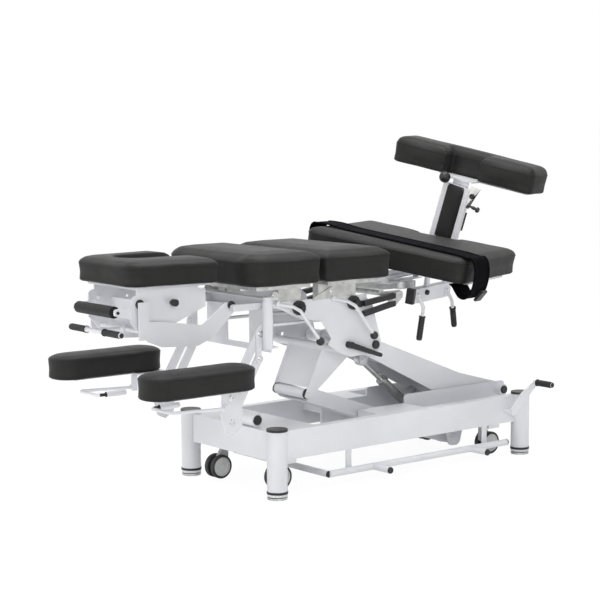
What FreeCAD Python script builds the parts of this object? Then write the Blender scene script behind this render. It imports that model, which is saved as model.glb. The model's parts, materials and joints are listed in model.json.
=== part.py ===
import FreeCAD, Part
import Sketcher
import math
import os

# Chiropractic table. Millimetres, +X towards the foot end, +Y towards the far side, +Z up,
# floor at z = 0. The origin lies on the floor, under the middle of the whole table.
# Heights and places along the table are measured from the middle of the base's four legs,
# and base_centre_x and base_centre_y then put that middle in its place.

SIZES = {
    # Whole table
    "base_centre_x": 151.96, "base_centre_y": -30.92, "seat_gap": 0.3, "running_gap": 0.05,
    "overrun": 20, "sheet_wall": 4, "plate_wall": 6, "washer_wall": 4, "pin_radius": 8,
    # Base frame
    "leg_reach_x": 634, "leg_reach_y": 275, "leg_radius": 38, "leg_bottom": 12, "leg_top": 252,
    "leg_cap_height": 9, "leg_cap_lip": 1.5, "leg_ring_height": 9, "foot_pad_radius": 37,
    "foot_pad_height": 8, "foot_stem_radius": 9,
    "rail_bottom": 138, "rail_top": 247, "rail_wall": 40,
    "head_rail_wall": 34, "window_head_x": -435, "window_foot_x": -110, "deck_flange": 46,
    "upright_y": 117, "upright_wall": 8, "upright_step_x": 130, "upright_top": 282,
    "upright_bottom": 146, "upright_foot_x": 694, "foot_rail_wall": 36, "foot_rail_height": 56,
    # Lift linkage
    "lift_pivot_x": 655, "lift_pivot_z": 250, "lift_run": 755, "lift_rise": 265,
    "link_pivot_x": 406, "link_pivot_z": 69, "lift_pin_radius": 14, "lift_tube_radius": 30,
    "arm_half_width": 105, "arm_head_depth": 38, "arm_belly_depth": 90, "arm_end_radius": 33,
    "link_half_width": 90, "link_depth": 56, "link_tube_radius": 19, "link_cap_radius": 15,
    "actuator_top_x": 1, "actuator_top_z": 421, "actuator_foot_x": 345, "actuator_foot_z": 135,
    "actuator_tube_radius": 19, "actuator_rod_radius": 11, "actuator_tube_length": 265,
    "actuator_eye_radius": 17, "actuator_eye_wall": 26, "actuator_eye_play": 7,
    "motor_radius": 27, "motor_length": 120, "motor_rise": 50, "clevis_wall": 6,
    # Castors and their pedal
    "castor_wheel_radius": 46, "castor_wheel_wall": 20, "castor_wheel_pitch": 38,
    "castor_floor_gap": 2.5, "castor_trail": 30, "castor_head_x": -565, "castor_foot_x": 496,
    "castor_head_y": 150, "castor_foot_y": 190, "castor_beam_wall": 30, "castor_beam_height": 18,
    "castor_stem_radius": 8, "castor_fork_width": 14, "castor_bar_reach": 262,
    "lever_pivot_x": 548, "lever_pivot_z": 188, "lever_reach_x": 135, "lever_rise": 111,
    "lever_grip_length": 100,
    "lever_grip_radius": 11, "lever_arm_depth": 26, "lever_arm_wall": 8,
    # Foot bar that works the height drive
    "foot_bar_radius": 13, "foot_bar_z": 62, "foot_bar_head_x": -405, "foot_bar_foot_x": 535,
    "foot_bar_y": 292, "foot_stub_radius": 12.5, "foot_stub_length": 98, "foot_stub_head_x": -185, "foot_stub_foot_x": 330,
    "foot_hanger_width": 26, "foot_hanger_wall": 5, "foot_hanger_head_x": -290,
    "foot_hanger_foot_x": 430,
    # Upper frame
    "frame_half_width": 203, "side_plate_length": 530, "side_plate_height": 236,
    "side_plate_head_x": -600, "side_plate_low_z": 478, "cap_radius": 13, "cap_height": 10,
    "frame_tube_x": -272, "frame_tube_z": 512, "frame_tube_radius": 15,
    "link_box_half_width": 105, "gusset_foot_x": -150, "gusset_foot_z": 466,
    "head_beam_x": -640, "head_beam_z": 690, "head_beam_height": 42, "head_beam_wall": 36,
    "head_beam_lug": 24, "bulkhead_height": 160, "bulkhead_width": 130, "second_tube_z": 622,
    # Middle sections
    "section_half_width": 300, "section_bottom": 782, "section_seam": 871, "section_crown": 904,
    "section_draw": 9, "thoracic_head_x": -750, "thoracic_foot_x": -427,
    "pelvic_head_x": -420, "pelvic_foot_x": -88, "section_round": 92, "section_corner": 22,
    "section_board": 14, "section_board_inset": 38, "drop_post_width": 34,
    "thoracic_channel_x": -570, "thoracic_channel_length": 105, "pelvic_channel_x": -382,
    "pelvic_channel_length": 182,
    "wheel_radius": 27, "wheel_wall": 15, "wheel_hub_radius": 10, "wheel_z": 687,
    "thoracic_wheel_x": -480, "pelvic_wheel_x": -216, "cock_rod_radius": 6.5, "cock_rise": 28,
    "cock_reach_x": 118, "cock_drop": 158, "cock_ball_radius": 15, "cock_back_x": 100,
    "clamp_hub_x": -238, "clamp_hub_z": 527, "clamp_reach_x": 155, "clamp_drop": 54,
    "clamp_hub_radius": 13, "clamp_tip_radius": 8,
    # Head section
    "head_pivot_x": -751, "head_pivot_z": 704, "head_arm_y": 158, "head_arm_length": 395,
    "head_arm_height": 160, "head_arm_low_z": 577, "cheek_y": 140, "cheek_length": 313,
    "cheek_height": 164, "cheek_head_x": -1164, "cheek_low_z": 627, "tray_pivot_x": -1132,
    "tray_pivot_z": 742, "head_cushion_head_x": -1201, "head_cushion_foot_x": -836,
    "head_cushion_head_half": 196, "head_cushion_foot_half": 232, "head_cushion_bottom": 806,
    "head_cushion_seam": 876, "head_cushion_crown": 896, "head_corner": 62, "trough_half": 84,
    "trough_depth": 24, "trough_head_x": -1120, "roller_x": -1216, "roller_z": 718,
    "roller_radius": 21, "roller_half": 116, "roller_pin": 5, "handle_z": 643,
    "handle_half": 168, "handle_grip": 112, "handle_grip_radius": 11, "handle_rod_radius": 8,
    "pull_pin_x": -1001, "pull_pin_z": 741, "pull_pin_reach": 34,
    "pull_knob_radius": 13, "head_board": 12, "head_board_inset": 34,
    # Armrests
    "arm_swivel_x": -645, "arm_swivel_y": 238, "arm_swivel_radius": 19, "arm_swivel_low": 556,
    "arm_swivel_top": 728, "arm_knob_radius": 17, "arm_bar_y": 211, "arm_bar_pitch": 91,
    "arm_upper_x": -668, "arm_upper_z": 606, "arm_bar_run": 128, "arm_bar_fall": 218,
    "arm_bar_wide": 34, "arm_bar_wall": 7, "arm_pin_radius": 7, "bracket_head_x": -845,
    "bracket_foot_x": -748, "bracket_low_z": 250, "bracket_wall": 6, "pad_head_x": -1235,
    "pad_foot_x": -764, "pad_y": 300, "pad_half_width": 80, "pad_bottom": 433, "pad_seam": 508,
    "pad_crown": 524, "rest_lever_z": 368, "rest_lever_y": 303, "rest_lever_head_x": -1112,
    "rest_lever_turn": 128, "rest_lever_radius": 6, "rest_grip_length": 118,
    "rest_grip_radius": 10,
    # Leg section
    "leg_yaw": 21.6, "leg_roll": 8.6, "flex_x": 25, "flex_z": 703, "yaw_x": 212,
    "leg_pad_offset": 163, "leg_seam_z": 870, "leg_pad_half": 370, "leg_pad_length": 560,
    "leg_pad_thick": 80, "leg_pad_crown": 25, "leg_pad_round": 46, "notch_half": 76,
    "notch_depth": 62, "notch_side": 5, "yoke_z": 700, "yoke_height": 26, "yoke_x": -62,
    "yoke_half": 196, "yoke_arm_half": 32, "yoke_tube_radius": 13,
    "hinge_plate_reach": 62, "hinge_plate_height": 66, "hinge_bar_width": 20,
    "swing_plate_half": 50, "swing_plate_length": 150, "swing_plate_wall": 8,
    "swing_hub_radius": 55, "swing_pin_radius": 15, "roll_drop": 118, "roll_tube_radius": 11,
    "roll_pin_radius": 7, "leg_board": 12, "leg_board_inset": 34, "leg_board_head": 112, "slide_tube_y": 150,
    "slide_tube_width": 30, "slide_tube_height": 58, "slide_tube_drop": 137,
    "slide_tube_start": 0, "slide_tube_end": 350, "handle_rod": 7, "squeeze_grip": 92,
    "squeeze_grip_radius": 11, "squeeze_y": 200, "first_handle_v": 35, "first_handle_drop": 336,
    "second_handle_v": 302, "second_handle_reach": 60, "second_handle_drop": 316,
    "handle_top_drop": 204, "strap_width": 120, "strap_wall": 3, "strap_v": 127,
    "strap_turn": -5, "strap_clear": 8, "strap_near_tail": 150, "strap_far_tail": 96,
    # Ankle section
    "post_v": 582, "post_y": 5.5, "post_half": 62, "post_rail_width": 22, "post_rail_depth": 24,
    "post_lean": 8.2, "post_low": -118, "post_top": 236, "post_pad_half": 35,
    "post_pad_low": 8, "post_pad_top": 232, "post_pad_wall": 34, "slide_beam_half": 24,
    "slide_beam_height": 22, "slide_beam_length": 262, "top_v": 602, "top_roll": 3.5,
    "top_half": 338, "top_depth": 188, "top_bottom": 265, "top_seam": 342, "top_crown": 380,
    "top_notch_half": 78, "top_notch_depth": 70, "top_corner": 34, "top_plate_wall": 8,
    "top_plate_head": -297, "top_plate_far": 118, "top_plate_width": 60, "knob_radius": 24,
    "knob_x": -60, "knob_y": 36, "seat_side": -15, "stem_wall": 12, "stem_half": 35, "stem_low": 140,
}

doc = FreeCAD.newDocument("chiropractic_table")
sheet = doc.addObject("Spreadsheet::Sheet", "Sizes")
for row, (alias, number) in enumerate(SIZES.items(), start=1):
    sheet.set(f"A{row}", alias)
    sheet.set(f"B{row}", str(number))
    sheet.setAlias(f"B{row}", alias)
doc.recompute()


class Size:
    """A length of the sheet, or a sum of such lengths: its number and its formula."""

    def __init__(self, number, formula):
        self.number = number
        self.formula = formula

    def joined(self, other, sign, number):
        return Size(number, f"({self.formula} {sign} {formula_of(other)})")

    def __add__(self, other):
        return self.joined(other, "+", self.number + float(other))

    def __sub__(self, other):
        return self.joined(other, "-", self.number - float(other))

    def __mul__(self, other):
        return self.joined(other, "*", self.number * float(other))

    def __truediv__(self, other):
        return self.joined(other, "/", self.number / float(other))

    def __radd__(self, other):
        return Size(float(other) + self.number, f"({formula_of(other)} + {self.formula})")

    def __rsub__(self, other):
        return Size(float(other) - self.number, f"({formula_of(other)} - {self.formula})")

    def __rmul__(self, other):
        return self * other

    def __neg__(self):
        return Size(-self.number, f"(-1 * {self.formula})")

    def __float__(self):
        return float(self.number)


def formula_of(value):
    """The text of a length in the sheet's language."""
    return value.formula if isinstance(value, Size) else f"({float(value)})"


class Sheet:
    """Gives each alias of the sheet as a Size."""

    def __getattr__(self, alias):
        return Size(float(sheet.get(alias)), f"Sizes.{alias}")


s = Sheet()
NODES = []
NO_TURN = FreeCAD.Rotation()
SAME_PLACE = 1e-4
ABOUT_X = FreeCAD.Vector(1, 0, 0)
ABOUT_Y = FreeCAD.Vector(0, 1, 0)
ABOUT_Z = FreeCAD.Vector(0, 0, 1)
AXIS_TURN = {
    "X": FreeCAD.Rotation(ABOUT_Y, 90),
    "Y": FreeCAD.Rotation(ABOUT_X, -90),
    "Z": NO_TURN,
}


def vector(x, y, z):
    """A point or direction from lengths of the sheet."""
    return FreeCAD.Vector(float(x), float(y), float(z))


def moved(x, y, z, rotation=NO_TURN):
    """A frame at a point, turned by a rotation."""
    return FreeCAD.Placement(vector(x, y, z), rotation)


BASE = moved(s.base_centre_x, s.base_centre_y, 0)


def bind(thing, name, value):
    """Set a property of a feature, bound to the sheet where the value comes from it."""
    if isinstance(value, Size):
        thing.setExpression(name, value.formula)
    else:
        setattr(thing, name, float(value))


def node(label, thing, frame=None):
    """Name a finished sub-part, and put it where its group stands."""
    thing.Label = label
    thing.Placement = (frame or BASE).multiply(thing.Placement)
    NODES.append(thing)
    return thing


def block(name, length, width, height, x=0.0, y=0.0, z=0.0, middle="y"):
    """A box from its lowest corner, or from its middle along the axes named in middle."""
    thing = doc.addObject("Part::Box", name)
    bind(thing, "Length", length)
    bind(thing, "Width", width)
    bind(thing, "Height", height)
    low = [float(x), float(y), float(z)]
    for index, side in enumerate((length, width, height)):
        if "xyz"[index] in middle:
            low[index] -= float(side) / 2
    thing.Placement = moved(*low)
    return thing


def bar(name, radius, length, x=0.0, y=0.0, z=0.0, axis="Z", middle=False):
    """A round bar along an axis, from its low end or from its middle."""
    thing = doc.addObject("Part::Cylinder", name)
    bind(thing, "Radius", radius)
    bind(thing, "Height", length)
    turn = AXIS_TURN[axis]
    start = vector(x, y, z)
    if middle:
        start -= turn.multVec(vector(0, 0, length / 2))
    thing.Placement = FreeCAD.Placement(start, turn)
    return thing


def ball(name, radius, x, y, z):
    """A round knob."""
    thing = doc.addObject("Part::Sphere", name)
    bind(thing, "Radius", radius)
    thing.Placement = moved(x, y, z)
    return thing


def ring(name, radius, bore, length, x=0.0, y=0.0, z=0.0, axis="Z", middle=False):
    """A round sleeve with a bore."""
    outside = bar(name + "_outside", radius, length, x, y, z, axis, middle)
    inside = bar(name + "_bore", bore, length * 3, x, y, z, axis, middle)
    if not middle:
        inside.Placement.Base -= AXIS_TURN[axis].multVec(vector(0, 0, length))
    return cut(name, outside, inside)


def cut(name, base, *tools):
    """One solid less others."""
    thing = doc.addObject("Part::Cut", name)
    thing.Base = base
    thing.Tool = tools[0] if len(tools) == 1 else fuse(name + "_tools", *tools)
    return thing


def fuse(name, *parts, refine=True):
    """Parts joined into one."""
    thing = doc.addObject("Part::MultiFuse", name)
    thing.Shapes = list(parts)
    thing.Refine = refine
    return thing


def group(name, *parts):
    """Separate solids of one sub-part."""
    thing = doc.addObject("Part::Compound", name)
    thing.Links = list(parts)
    return thing


def origin_plane(body, role):
    """One of a body's own origin planes."""
    return next(item for item in body.Origin.OriginFeatures if item.Role == role)


def outline_sketch(body, name, plane, points, holes=()):
    """A closed outline with round holes, each point held to the sheet."""
    sketch = body.newObject("Sketcher::SketchObject", name)
    sketch.AttachmentSupport = (origin_plane(body, plane), [""])
    sketch.MapMode = "FlatFace"
    count = len(points)
    for index, (across, up) in enumerate(points):
        after_across, after_up = points[(index + 1) % count]
        line = Part.LineSegment(vector(across, up, 0), vector(after_across, after_up, 0))
        sketch.addGeometry(line, False)
    for index in range(count):
        sketch.addConstraint(Sketcher.Constraint("Coincident", index, 2, (index + 1) % count, 1))
    for index, (across, up) in enumerate(points):
        hold_point(sketch, index, 1, across, up)
    for across, up, radius in holes:
        middle = vector(across, up, 0)
        circle = sketch.addGeometry(Part.Circle(middle, ABOUT_Z, float(radius)), False)
        hold_point(sketch, circle, 3, across, up)
        held = sketch.addConstraint(Sketcher.Constraint("Radius", circle, float(radius)))
        if isinstance(radius, Size):
            sketch.setExpression(f"Constraints[{held}]", radius.formula)
    return sketch


def hold_point(sketch, geometry, position, across, up):
    """Hold one point of a sketch at a place measured from the sketch's origin."""
    for kind, value in (("DistanceX", across), ("DistanceY", up)):
        rule = Sketcher.Constraint(kind, -1, 1, geometry, position, float(value))
        held = sketch.addConstraint(rule)
        if isinstance(value, Size):
            sketch.setExpression(f"Constraints[{held}]", value.formula)


def plate(name, plane, points, wall, holes=(), corners=(), x=0.0, y=0.0, z=0.0):
    """A flat plate, padded both ways from its plane, with some corners rounded."""
    body = doc.addObject("PartDesign::Body", name)
    sketch = outline_sketch(body, name + "_outline", plane, points, holes)
    pad = body.newObject("PartDesign::Pad", name + "_pad")
    pad.Profile = sketch
    pad.SideType = "Symmetric"
    bind(pad, "Length", wall)
    doc.recompute()
    last = pad
    for number, (radius, places) in enumerate(corners):
        spots = [(float(points[place][0]), float(points[place][1])) for place in places]
        edges = corner_edges(last.Shape, plane, spots)
        rounding = body.newObject("PartDesign::Fillet", f"{name}_corner_{number}")
        rounding.Base = (last, edges)
        bind(rounding, "Radius", radius)
        doc.recompute()
        last = rounding
    body.Tip = last
    body.Placement = moved(x, y, z)
    return body


def corner_edges(shape, plane, spots):
    """The names of the edges that stand on the plane at the given places."""
    pick = {"XY_Plane": (0, 1), "XZ_Plane": (0, 2), "YZ_Plane": (1, 2)}[plane]
    names = []
    for number, edge in enumerate(shape.Edges, start=1):
        ends = [tuple(vertex.Point) for vertex in edge.Vertexes]
        if len(ends) == 2 and any(stand_at(ends, pick, spot) for spot in spots):
            names.append(f"Edge{number}")
    return names


def stand_at(ends, pick, spot):
    """Whether both ends of an edge lie over one place of an outline."""
    away = [math.hypot(end[pick[0]] - spot[0], end[pick[1]] - spot[1]) for end in ends]
    return max(away) < SAME_PLACE


def scaled(length, height, shares, x=0.0, z=0.0):
    """An outline's points from shares of its length and height."""
    return [(x + length * across, z + height * up) for across, up in shares]


def rounded_corner(before, corner, after, radius):
    """The start, middle and end of the arc that rounds a corner."""
    first = (before - corner).normalize()
    second = (after - corner).normalize()
    half = first.getAngle(second) / 2
    reach = float(radius) / math.tan(half)
    middle_line = (first + second).normalize()
    centre = corner + middle_line * (float(radius) / math.sin(half))
    nearest = centre - middle_line * float(radius)
    return corner + first * reach, nearest, corner + second * reach


def rounded_wire(corners, closed):
    """Straight runs and tangent arcs through (point, radius) pairs."""
    edges = []
    count = len(corners)
    last_end = corners[0][0]
    first_start = None
    for index, (point, radius) in enumerate(corners):
        inner = closed or 0 < index < count - 1
        if not inner:
            start, end, arc = point, point, None
        else:
            before = corners[(index - 1) % count][0]
            after = corners[(index + 1) % count][0]
            start, middle, end = rounded_corner(before, point, after, radius)
            arc = Part.Arc(start, middle, end).toShape()
        if first_start is None:
            first_start = start
        elif last_end.distanceToPoint(start) > 1e-6:
            edges.append(Part.makeLine(last_end, start))
        if arc:
            edges.append(arc)
        last_end = end
    if closed:
        edges.append(Part.makeLine(last_end, first_start))
    return Part.Wire(edges)


def bent_rod(name, points, radius, bend):
    """A round rod bent through points."""
    path = rounded_wire([(vector(*point), bend) for point in points], closed=False)
    start = path.Edges[0]
    along = start.tangentAt(start.FirstParameter)
    section = Part.makeCircle(float(radius), start.valueAt(start.FirstParameter), along)
    thing = doc.addObject("Part::Feature", name)
    thing.Shape = path.makePipeShell([Part.Wire([section])], True, False)
    return thing


def inset_corners(corners, inset):
    """An outline moved inwards, its corners' radii with it."""
    count = len(corners)
    moved_corners = []
    for index, (x, y, radius) in enumerate(corners):
        before = corners[(index - 1) % count]
        after = corners[(index + 1) % count]
        arriving = vector(x - before[0], y - before[1], 0).normalize()
        leaving = vector(after[0] - x, after[1] - y, 0).normalize()
        turn = arriving.cross(leaving).z
        left = vector(-arriving.y, arriving.x, 0) + vector(-leaving.y, leaving.x, 0)
        left = left.normalize()
        depth = inset / left.dot(vector(-arriving.y, arriving.x, 0))
        new_radius = radius - inset if turn > 0 else radius + inset
        place = vector(x, y, 0) + left * depth
        moved_corners.append((place, max(new_radius, radius / 8)))
    return moved_corners


def cushion(name, corners, bottom, seam, crown, draw, crown_inset):
    """A padded form: drawn-in sides, a seam round its rim and a crowned top."""
    plan = [(float(x), float(y), float(radius)) for x, y, radius in corners]
    bottom, seam, crown, draw = float(bottom), float(seam), float(crown), float(draw)
    crown_inset = float(crown_inset)
    side_shares = [(0.0, 1.0), (0.08, 0.25), (0.45, 0.6), (0.92, 0.15), (1.0, 0.0)]
    crown_shares = [(0.14, 0.42), (0.42, 0.78), (1.0, 1.0)]
    wires = []
    for height_share, draw_share in side_shares:
        level = bottom + (seam - bottom) * height_share
        wires.append((level, draw * draw_share))
    for inset_share, height_share in crown_shares:
        wires.append((seam + (crown - seam) * height_share, crown_inset * inset_share))
    sections = []
    for level, inset in wires:
        wire = rounded_wire(inset_corners(plan, inset), closed=True)
        wire.translate(FreeCAD.Vector(0, 0, level))
        sections.append(wire)
    thing = doc.addObject("Part::Feature", name)
    thing.Shape = Part.makeLoft(sections, True, True)
    return thing


def mirrored_pair(name, maker):
    """A near and a far copy of one thing, from a maker that takes the side as -1 or 1."""
    return group(name, maker(name + "_near", -1), maker(name + "_far", 1))


def leg_spots():
    """The places of the four legs."""
    return [(side_x * s.leg_reach_x, side_y * s.leg_reach_y)
            for side_x in (-1, 1) for side_y in (-1, 1)]


def leg_bars(name, radius, bottom, height):
    """One round solid at each of the four legs."""
    return [bar(f"{name}_{number}", radius, height, x, y, bottom)
            for number, (x, y) in enumerate(leg_spots())]


# Base frame

def make_base():
    legs = leg_bars("leg_tube", s.leg_radius, s.leg_bottom, s.leg_top - s.leg_bottom)
    node("corner_legs", group("corner_legs", *legs))
    fittings = leg_bars("leg_cap", s.leg_radius + s.leg_cap_lip, s.leg_top, s.leg_cap_height)
    stem_length = s.leg_bottom - s.foot_pad_height
    for number, (x, y) in enumerate(leg_spots()):
        pad = bar(f"foot_pad_{number}", s.foot_pad_radius, s.foot_pad_height, x, y, 0)
        stem = bar(f"foot_stem_{number}", s.foot_stem_radius, stem_length, x, y, s.foot_pad_height)
        fittings.append(fuse(f"levelling_foot_{number}", pad, stem))
        ring_radius = s.leg_radius + s.leg_cap_lip
        fittings.append(ring(f"leg_ring_{number}", ring_radius, s.leg_radius,
                             s.leg_ring_height, x, y, s.leg_bottom + s.leg_ring_height))
    node("leg_fittings", group("leg_fittings", *fittings))
    node("side_rails", mirrored_pair("side_rails", side_rail))
    node("base_deck", make_deck())


def side_rail(name, side):
    """A box rail between a head leg and a foot leg, its ends shaped to their round walls."""
    height = s.rail_top - s.rail_bottom
    middle_y = side * (s.leg_reach_y - s.rail_wall / 2)
    rail = block(name + "_bar", s.leg_reach_x * 2, s.rail_wall, height,
                 0, middle_y, s.rail_bottom, middle="xy")
    ends = [bar(f"{name}_end_{number}", s.leg_radius, height * 2, x, side * s.leg_reach_y,
                s.rail_bottom - height / 2)
            for number, x in enumerate((-s.leg_reach_x, s.leg_reach_x))]
    return cut(name, rail, *ends)


def make_deck():
    """Cross rails, the folded deck sheets and the two uprights that carry the lift."""
    inside = s.leg_reach_y - s.rail_wall
    rail_height = s.rail_top - s.rail_bottom
    head_rail = block("head_rail_bar", s.head_rail_wall, inside * 2, rail_height,
                      -s.leg_reach_x, 0, s.rail_bottom, middle="xy")
    head_cuts = [bar(f"head_rail_end_{number}", s.leg_radius, rail_height * 2,
                     -s.leg_reach_x, side * s.leg_reach_y, s.rail_bottom - rail_height / 2)
                 for number, side in enumerate((-1, 1))]
    head_rail = cut("head_rail", head_rail, *head_cuts)
    head_start = s.head_rail_wall / 2 - s.leg_reach_x
    head_sheet = folded_sheet("head_sheet", head_start, s.window_head_x, inside)
    strips = [folded_strip(f"deck_strip_{number}", side, inside)
              for number, side in enumerate((-1, 1))]
    foot_rail = block("foot_rail_bar", s.foot_rail_wall, inside * 2, s.foot_rail_height,
                      s.leg_reach_x, 0, s.rail_bottom, middle="xy")
    foot_cuts = [bar(f"foot_rail_end_{number}", s.leg_radius, rail_height * 2,
                     s.leg_reach_x, side * s.leg_reach_y, s.rail_bottom - rail_height / 2)
                 for number, side in enumerate((-1, 1))]
    foot_rail = cut("foot_rail", foot_rail, *foot_cuts)
    uprights = [upright(f"upright_{number}", side) for number, side in enumerate((-1, 1))]
    cross_pin = bar("actuator_foot_pin", s.pin_radius, s.upright_y * 2 - s.upright_wall,
                    s.actuator_foot_x, 0, s.actuator_foot_z, axis="Y", middle=True)
    link_pins = [bar(f"link_pin_{number}", s.lift_pin_radius, pin_length(), s.link_pivot_x,
                     side * pin_middle(), s.link_pivot_z, axis="Y", middle=True)
                 for number, side in enumerate((-1, 1))]
    link_caps = [bar(f"link_pin_cap_{number}", s.link_cap_radius + s.washer_wall, s.cap_height,
                     s.link_pivot_x, side * cap_middle(), s.link_pivot_z, axis="Y", middle=True)
                 for number, side in enumerate((-1, 1))]
    lift_caps = [bar(f"lift_pin_cap_{number}", s.link_cap_radius + s.washer_wall, s.cap_height,
                     s.lift_pivot_x, side * cap_middle(), s.lift_pivot_z, axis="Y", middle=True)
                 for number, side in enumerate((-1, 1))]
    weldment = fuse("deck_weldment", head_rail, head_sheet, *strips, foot_rail, *uprights,
                    cross_pin, *link_pins)
    return group("base_deck", weldment, *link_caps, *lift_caps)


def pin_length():
    """How long a fixed stub pin is that stands inside an upright and carries a link."""
    return s.upright_y + s.upright_wall / 2 - s.link_half_width + s.plate_wall


def pin_middle():
    """Where the middle of such a stub pin lies."""
    return s.upright_y + s.upright_wall / 2 - pin_length() / 2


def cap_middle():
    """Where the middle of a cap on an upright's outer face lies."""
    return s.upright_y + s.upright_wall / 2 + s.cap_height / 2


def folded_sheet(name, start, end, inside):
    """A deck sheet from rail to rail, its free edge folded down."""
    length = end - start
    top = block(name + "_top", length, inside * 2, s.sheet_wall, start, 0,
                s.rail_top - s.sheet_wall)
    fold = block(name + "_fold", s.sheet_wall, inside * 2, s.deck_flange,
                 end - s.sheet_wall, 0, s.rail_top - s.deck_flange)
    return fuse(name, top, fold)


def folded_strip(name, side, inside):
    """A deck strip between a rail and an upright, folded down at both ends."""
    width = inside - s.upright_y
    middle_y = side * (s.upright_y + width / 2)
    length = s.upright_step_x - s.window_foot_x
    top = block(name + "_top", length, width, s.sheet_wall, s.window_foot_x, middle_y,
                s.rail_top - s.sheet_wall)
    head_fold = block(name + "_head_fold", s.sheet_wall, width, s.deck_flange,
                      s.window_foot_x, middle_y, s.rail_top - s.deck_flange)
    foot_fold = block(name + "_foot_fold", s.sheet_wall, width, s.deck_flange,
                      s.upright_step_x - s.sheet_wall, middle_y, s.rail_top - s.deck_flange)
    return fuse(name, top, head_fold, foot_fold)


def upright(name, side):
    """A long plate beside the lift slot, with a tab down to the lower link's pivot."""
    tab = s.lift_pin_radius + s.lift_tube_radius / 2
    points = [
        (s.window_foot_x, s.upright_bottom), (s.link_pivot_x - tab * 2, s.upright_bottom),
        (s.link_pivot_x - tab, s.link_pivot_z - tab), (s.link_pivot_x + tab, s.link_pivot_z - tab),
        (s.link_pivot_x + tab * 2, s.upright_bottom), (s.upright_foot_x, s.upright_bottom),
        (s.upright_foot_x, s.upright_top), (s.upright_step_x, s.upright_top),
        (s.upright_step_x, s.rail_top), (s.window_foot_x, s.rail_top),
    ]
    holes = [(s.lift_pivot_x, s.lift_pivot_z, s.lift_pin_radius + s.running_gap)]
    corners = [(tab * 0.9, (2, 3)), (s.lift_tube_radius / 2, (6, 7))]
    return plate(name, "XZ_Plane", points, s.upright_wall, holes, corners,
                 y=side * s.upright_y)


# Foot bar

def make_foot_bar():
    """The bar round the base that is stepped on, its stubs and hangers."""
    bar_length = s.foot_bar_foot_x - s.foot_bar_head_x
    middle_x = s.foot_bar_head_x + bar_length / 2
    parts = []
    for number, side in enumerate((-1, 1)):
        y = side * s.foot_bar_y
        parts.append(bar(f"foot_bar_run_{number}", s.foot_bar_radius, bar_length, middle_x, y,
                         s.foot_bar_z, axis="X", middle=True))
        for spot, x in enumerate((s.foot_stub_head_x, s.foot_stub_foot_x)):
            stub_y = side * (s.foot_bar_y + s.foot_stub_length / 2)
            parts.append(bar(f"foot_stub_{number}_{spot}", s.foot_stub_radius,
                             s.foot_stub_length, x, stub_y, s.foot_bar_z, "Y", True))
        hanger_height = s.rail_bottom - s.foot_bar_z - s.seat_gap
        hanger_y = side * (s.leg_reach_y - s.foot_hanger_wall)
        boss_y = s.foot_bar_y - s.leg_reach_y + s.foot_hanger_wall
        for spot, x in enumerate((s.foot_hanger_head_x, s.foot_hanger_foot_x)):
            parts.append(block(f"foot_hanger_{number}_{spot}", s.foot_hanger_width,
                               s.foot_hanger_wall, hanger_height, x, hanger_y, s.foot_bar_z, "xy"))
            parts.append(bar(f"foot_boss_{number}_{spot}", s.foot_bar_radius * 0.6, boss_y, x,
                             hanger_y + side * boss_y / 2, s.foot_bar_z, "Y", True))
    parts.append(bar("foot_cross", s.foot_stub_radius, s.foot_bar_y * 2, s.foot_bar_head_x, 0,
                     s.foot_bar_z, "Y", True))
    node("foot_bar", fuse("foot_bar", *parts))


# Castors

def make_castors():
    beam_top = s.rail_bottom - s.seat_gap
    beam_low = beam_top - s.castor_beam_height
    beams = []
    for name, x, reach_y in (("head", s.castor_head_x, s.castor_head_y),
                             ("foot", s.castor_foot_x, s.castor_foot_y)):
        beams.append(castor_beam(name, x, reach_y, beam_low))
        for side_name, side in (("near", -1), ("far", 1)):
            turned = FreeCAD.Rotation(ABOUT_Z, 180 if (name, side_name) == ("head", "far") else 0)
            stand = moved(x, side * reach_y, 0, turned)
            make_castor(f"{name}_{side_name}", stand, beam_low)
    node("castor_beams", group("castor_beams", *beams))
    make_castor_lever()


def castor_beam(name, x, reach_y, beam_low):
    """A flat bar across the base, under its side rails, that two castor stems turn in."""
    label = f"castor_beam_{name}"
    beam = block(label + "_bar", s.castor_beam_wall * 2, s.castor_bar_reach * 2,
                 s.castor_beam_height, x, 0, beam_low, "xy")
    bores = [bar(f"{label}_bore_{number}", s.castor_stem_radius + s.running_gap,
                 s.castor_beam_height * 2, x, side * reach_y, beam_low - s.castor_beam_height / 2)
             for number, side in enumerate((-1, 1))]
    return cut(label, beam, *bores)


def make_castor(name, stand, beam_low):
    """A twin-wheel castor: the fork with its stem, and the pair of wheels on their axle."""
    label = f"castor_{name}"
    axle_z = s.castor_wheel_radius + s.castor_floor_gap
    top = beam_low - s.seat_gap
    stem = bar(label + "_stem", s.castor_stem_radius, s.castor_beam_height, 0, 0, top)
    reach = s.castor_trail + s.castor_fork_width
    half = s.castor_fork_width / 2
    points = [
        (-s.castor_fork_width, top - axle_z), (-s.castor_fork_width, half * 2),
        (s.castor_trail - half, -s.castor_fork_width), (s.castor_trail + half, -s.castor_fork_width),
        (reach + half, s.castor_fork_width), (s.castor_fork_width, top - axle_z),
    ]
    holes = [(s.castor_trail, 0, s.pin_radius / 2 + s.running_gap)]
    web = plate(label + "_web", "XZ_Plane", points, s.castor_fork_width, holes,
                [(half, (1, 4))], z=axle_z)
    frame = BASE.multiply(stand)
    node(f"castor_fork_{name}", fuse(label + "_fork", stem, web), frame)
    wheels = [castor_wheel(f"{label}_wheel_{number}", s.castor_trail, offset, axle_z)
              for number, offset in enumerate((-s.castor_wheel_pitch / 2, s.castor_wheel_pitch / 2))]
    axle = bar(label + "_axle", s.pin_radius / 2, s.castor_wheel_pitch, s.castor_trail, 0, axle_z,
               "Y", True)
    node(f"castor_wheels_{name}", fuse(label + "_wheels", axle, *wheels), frame)


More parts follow.
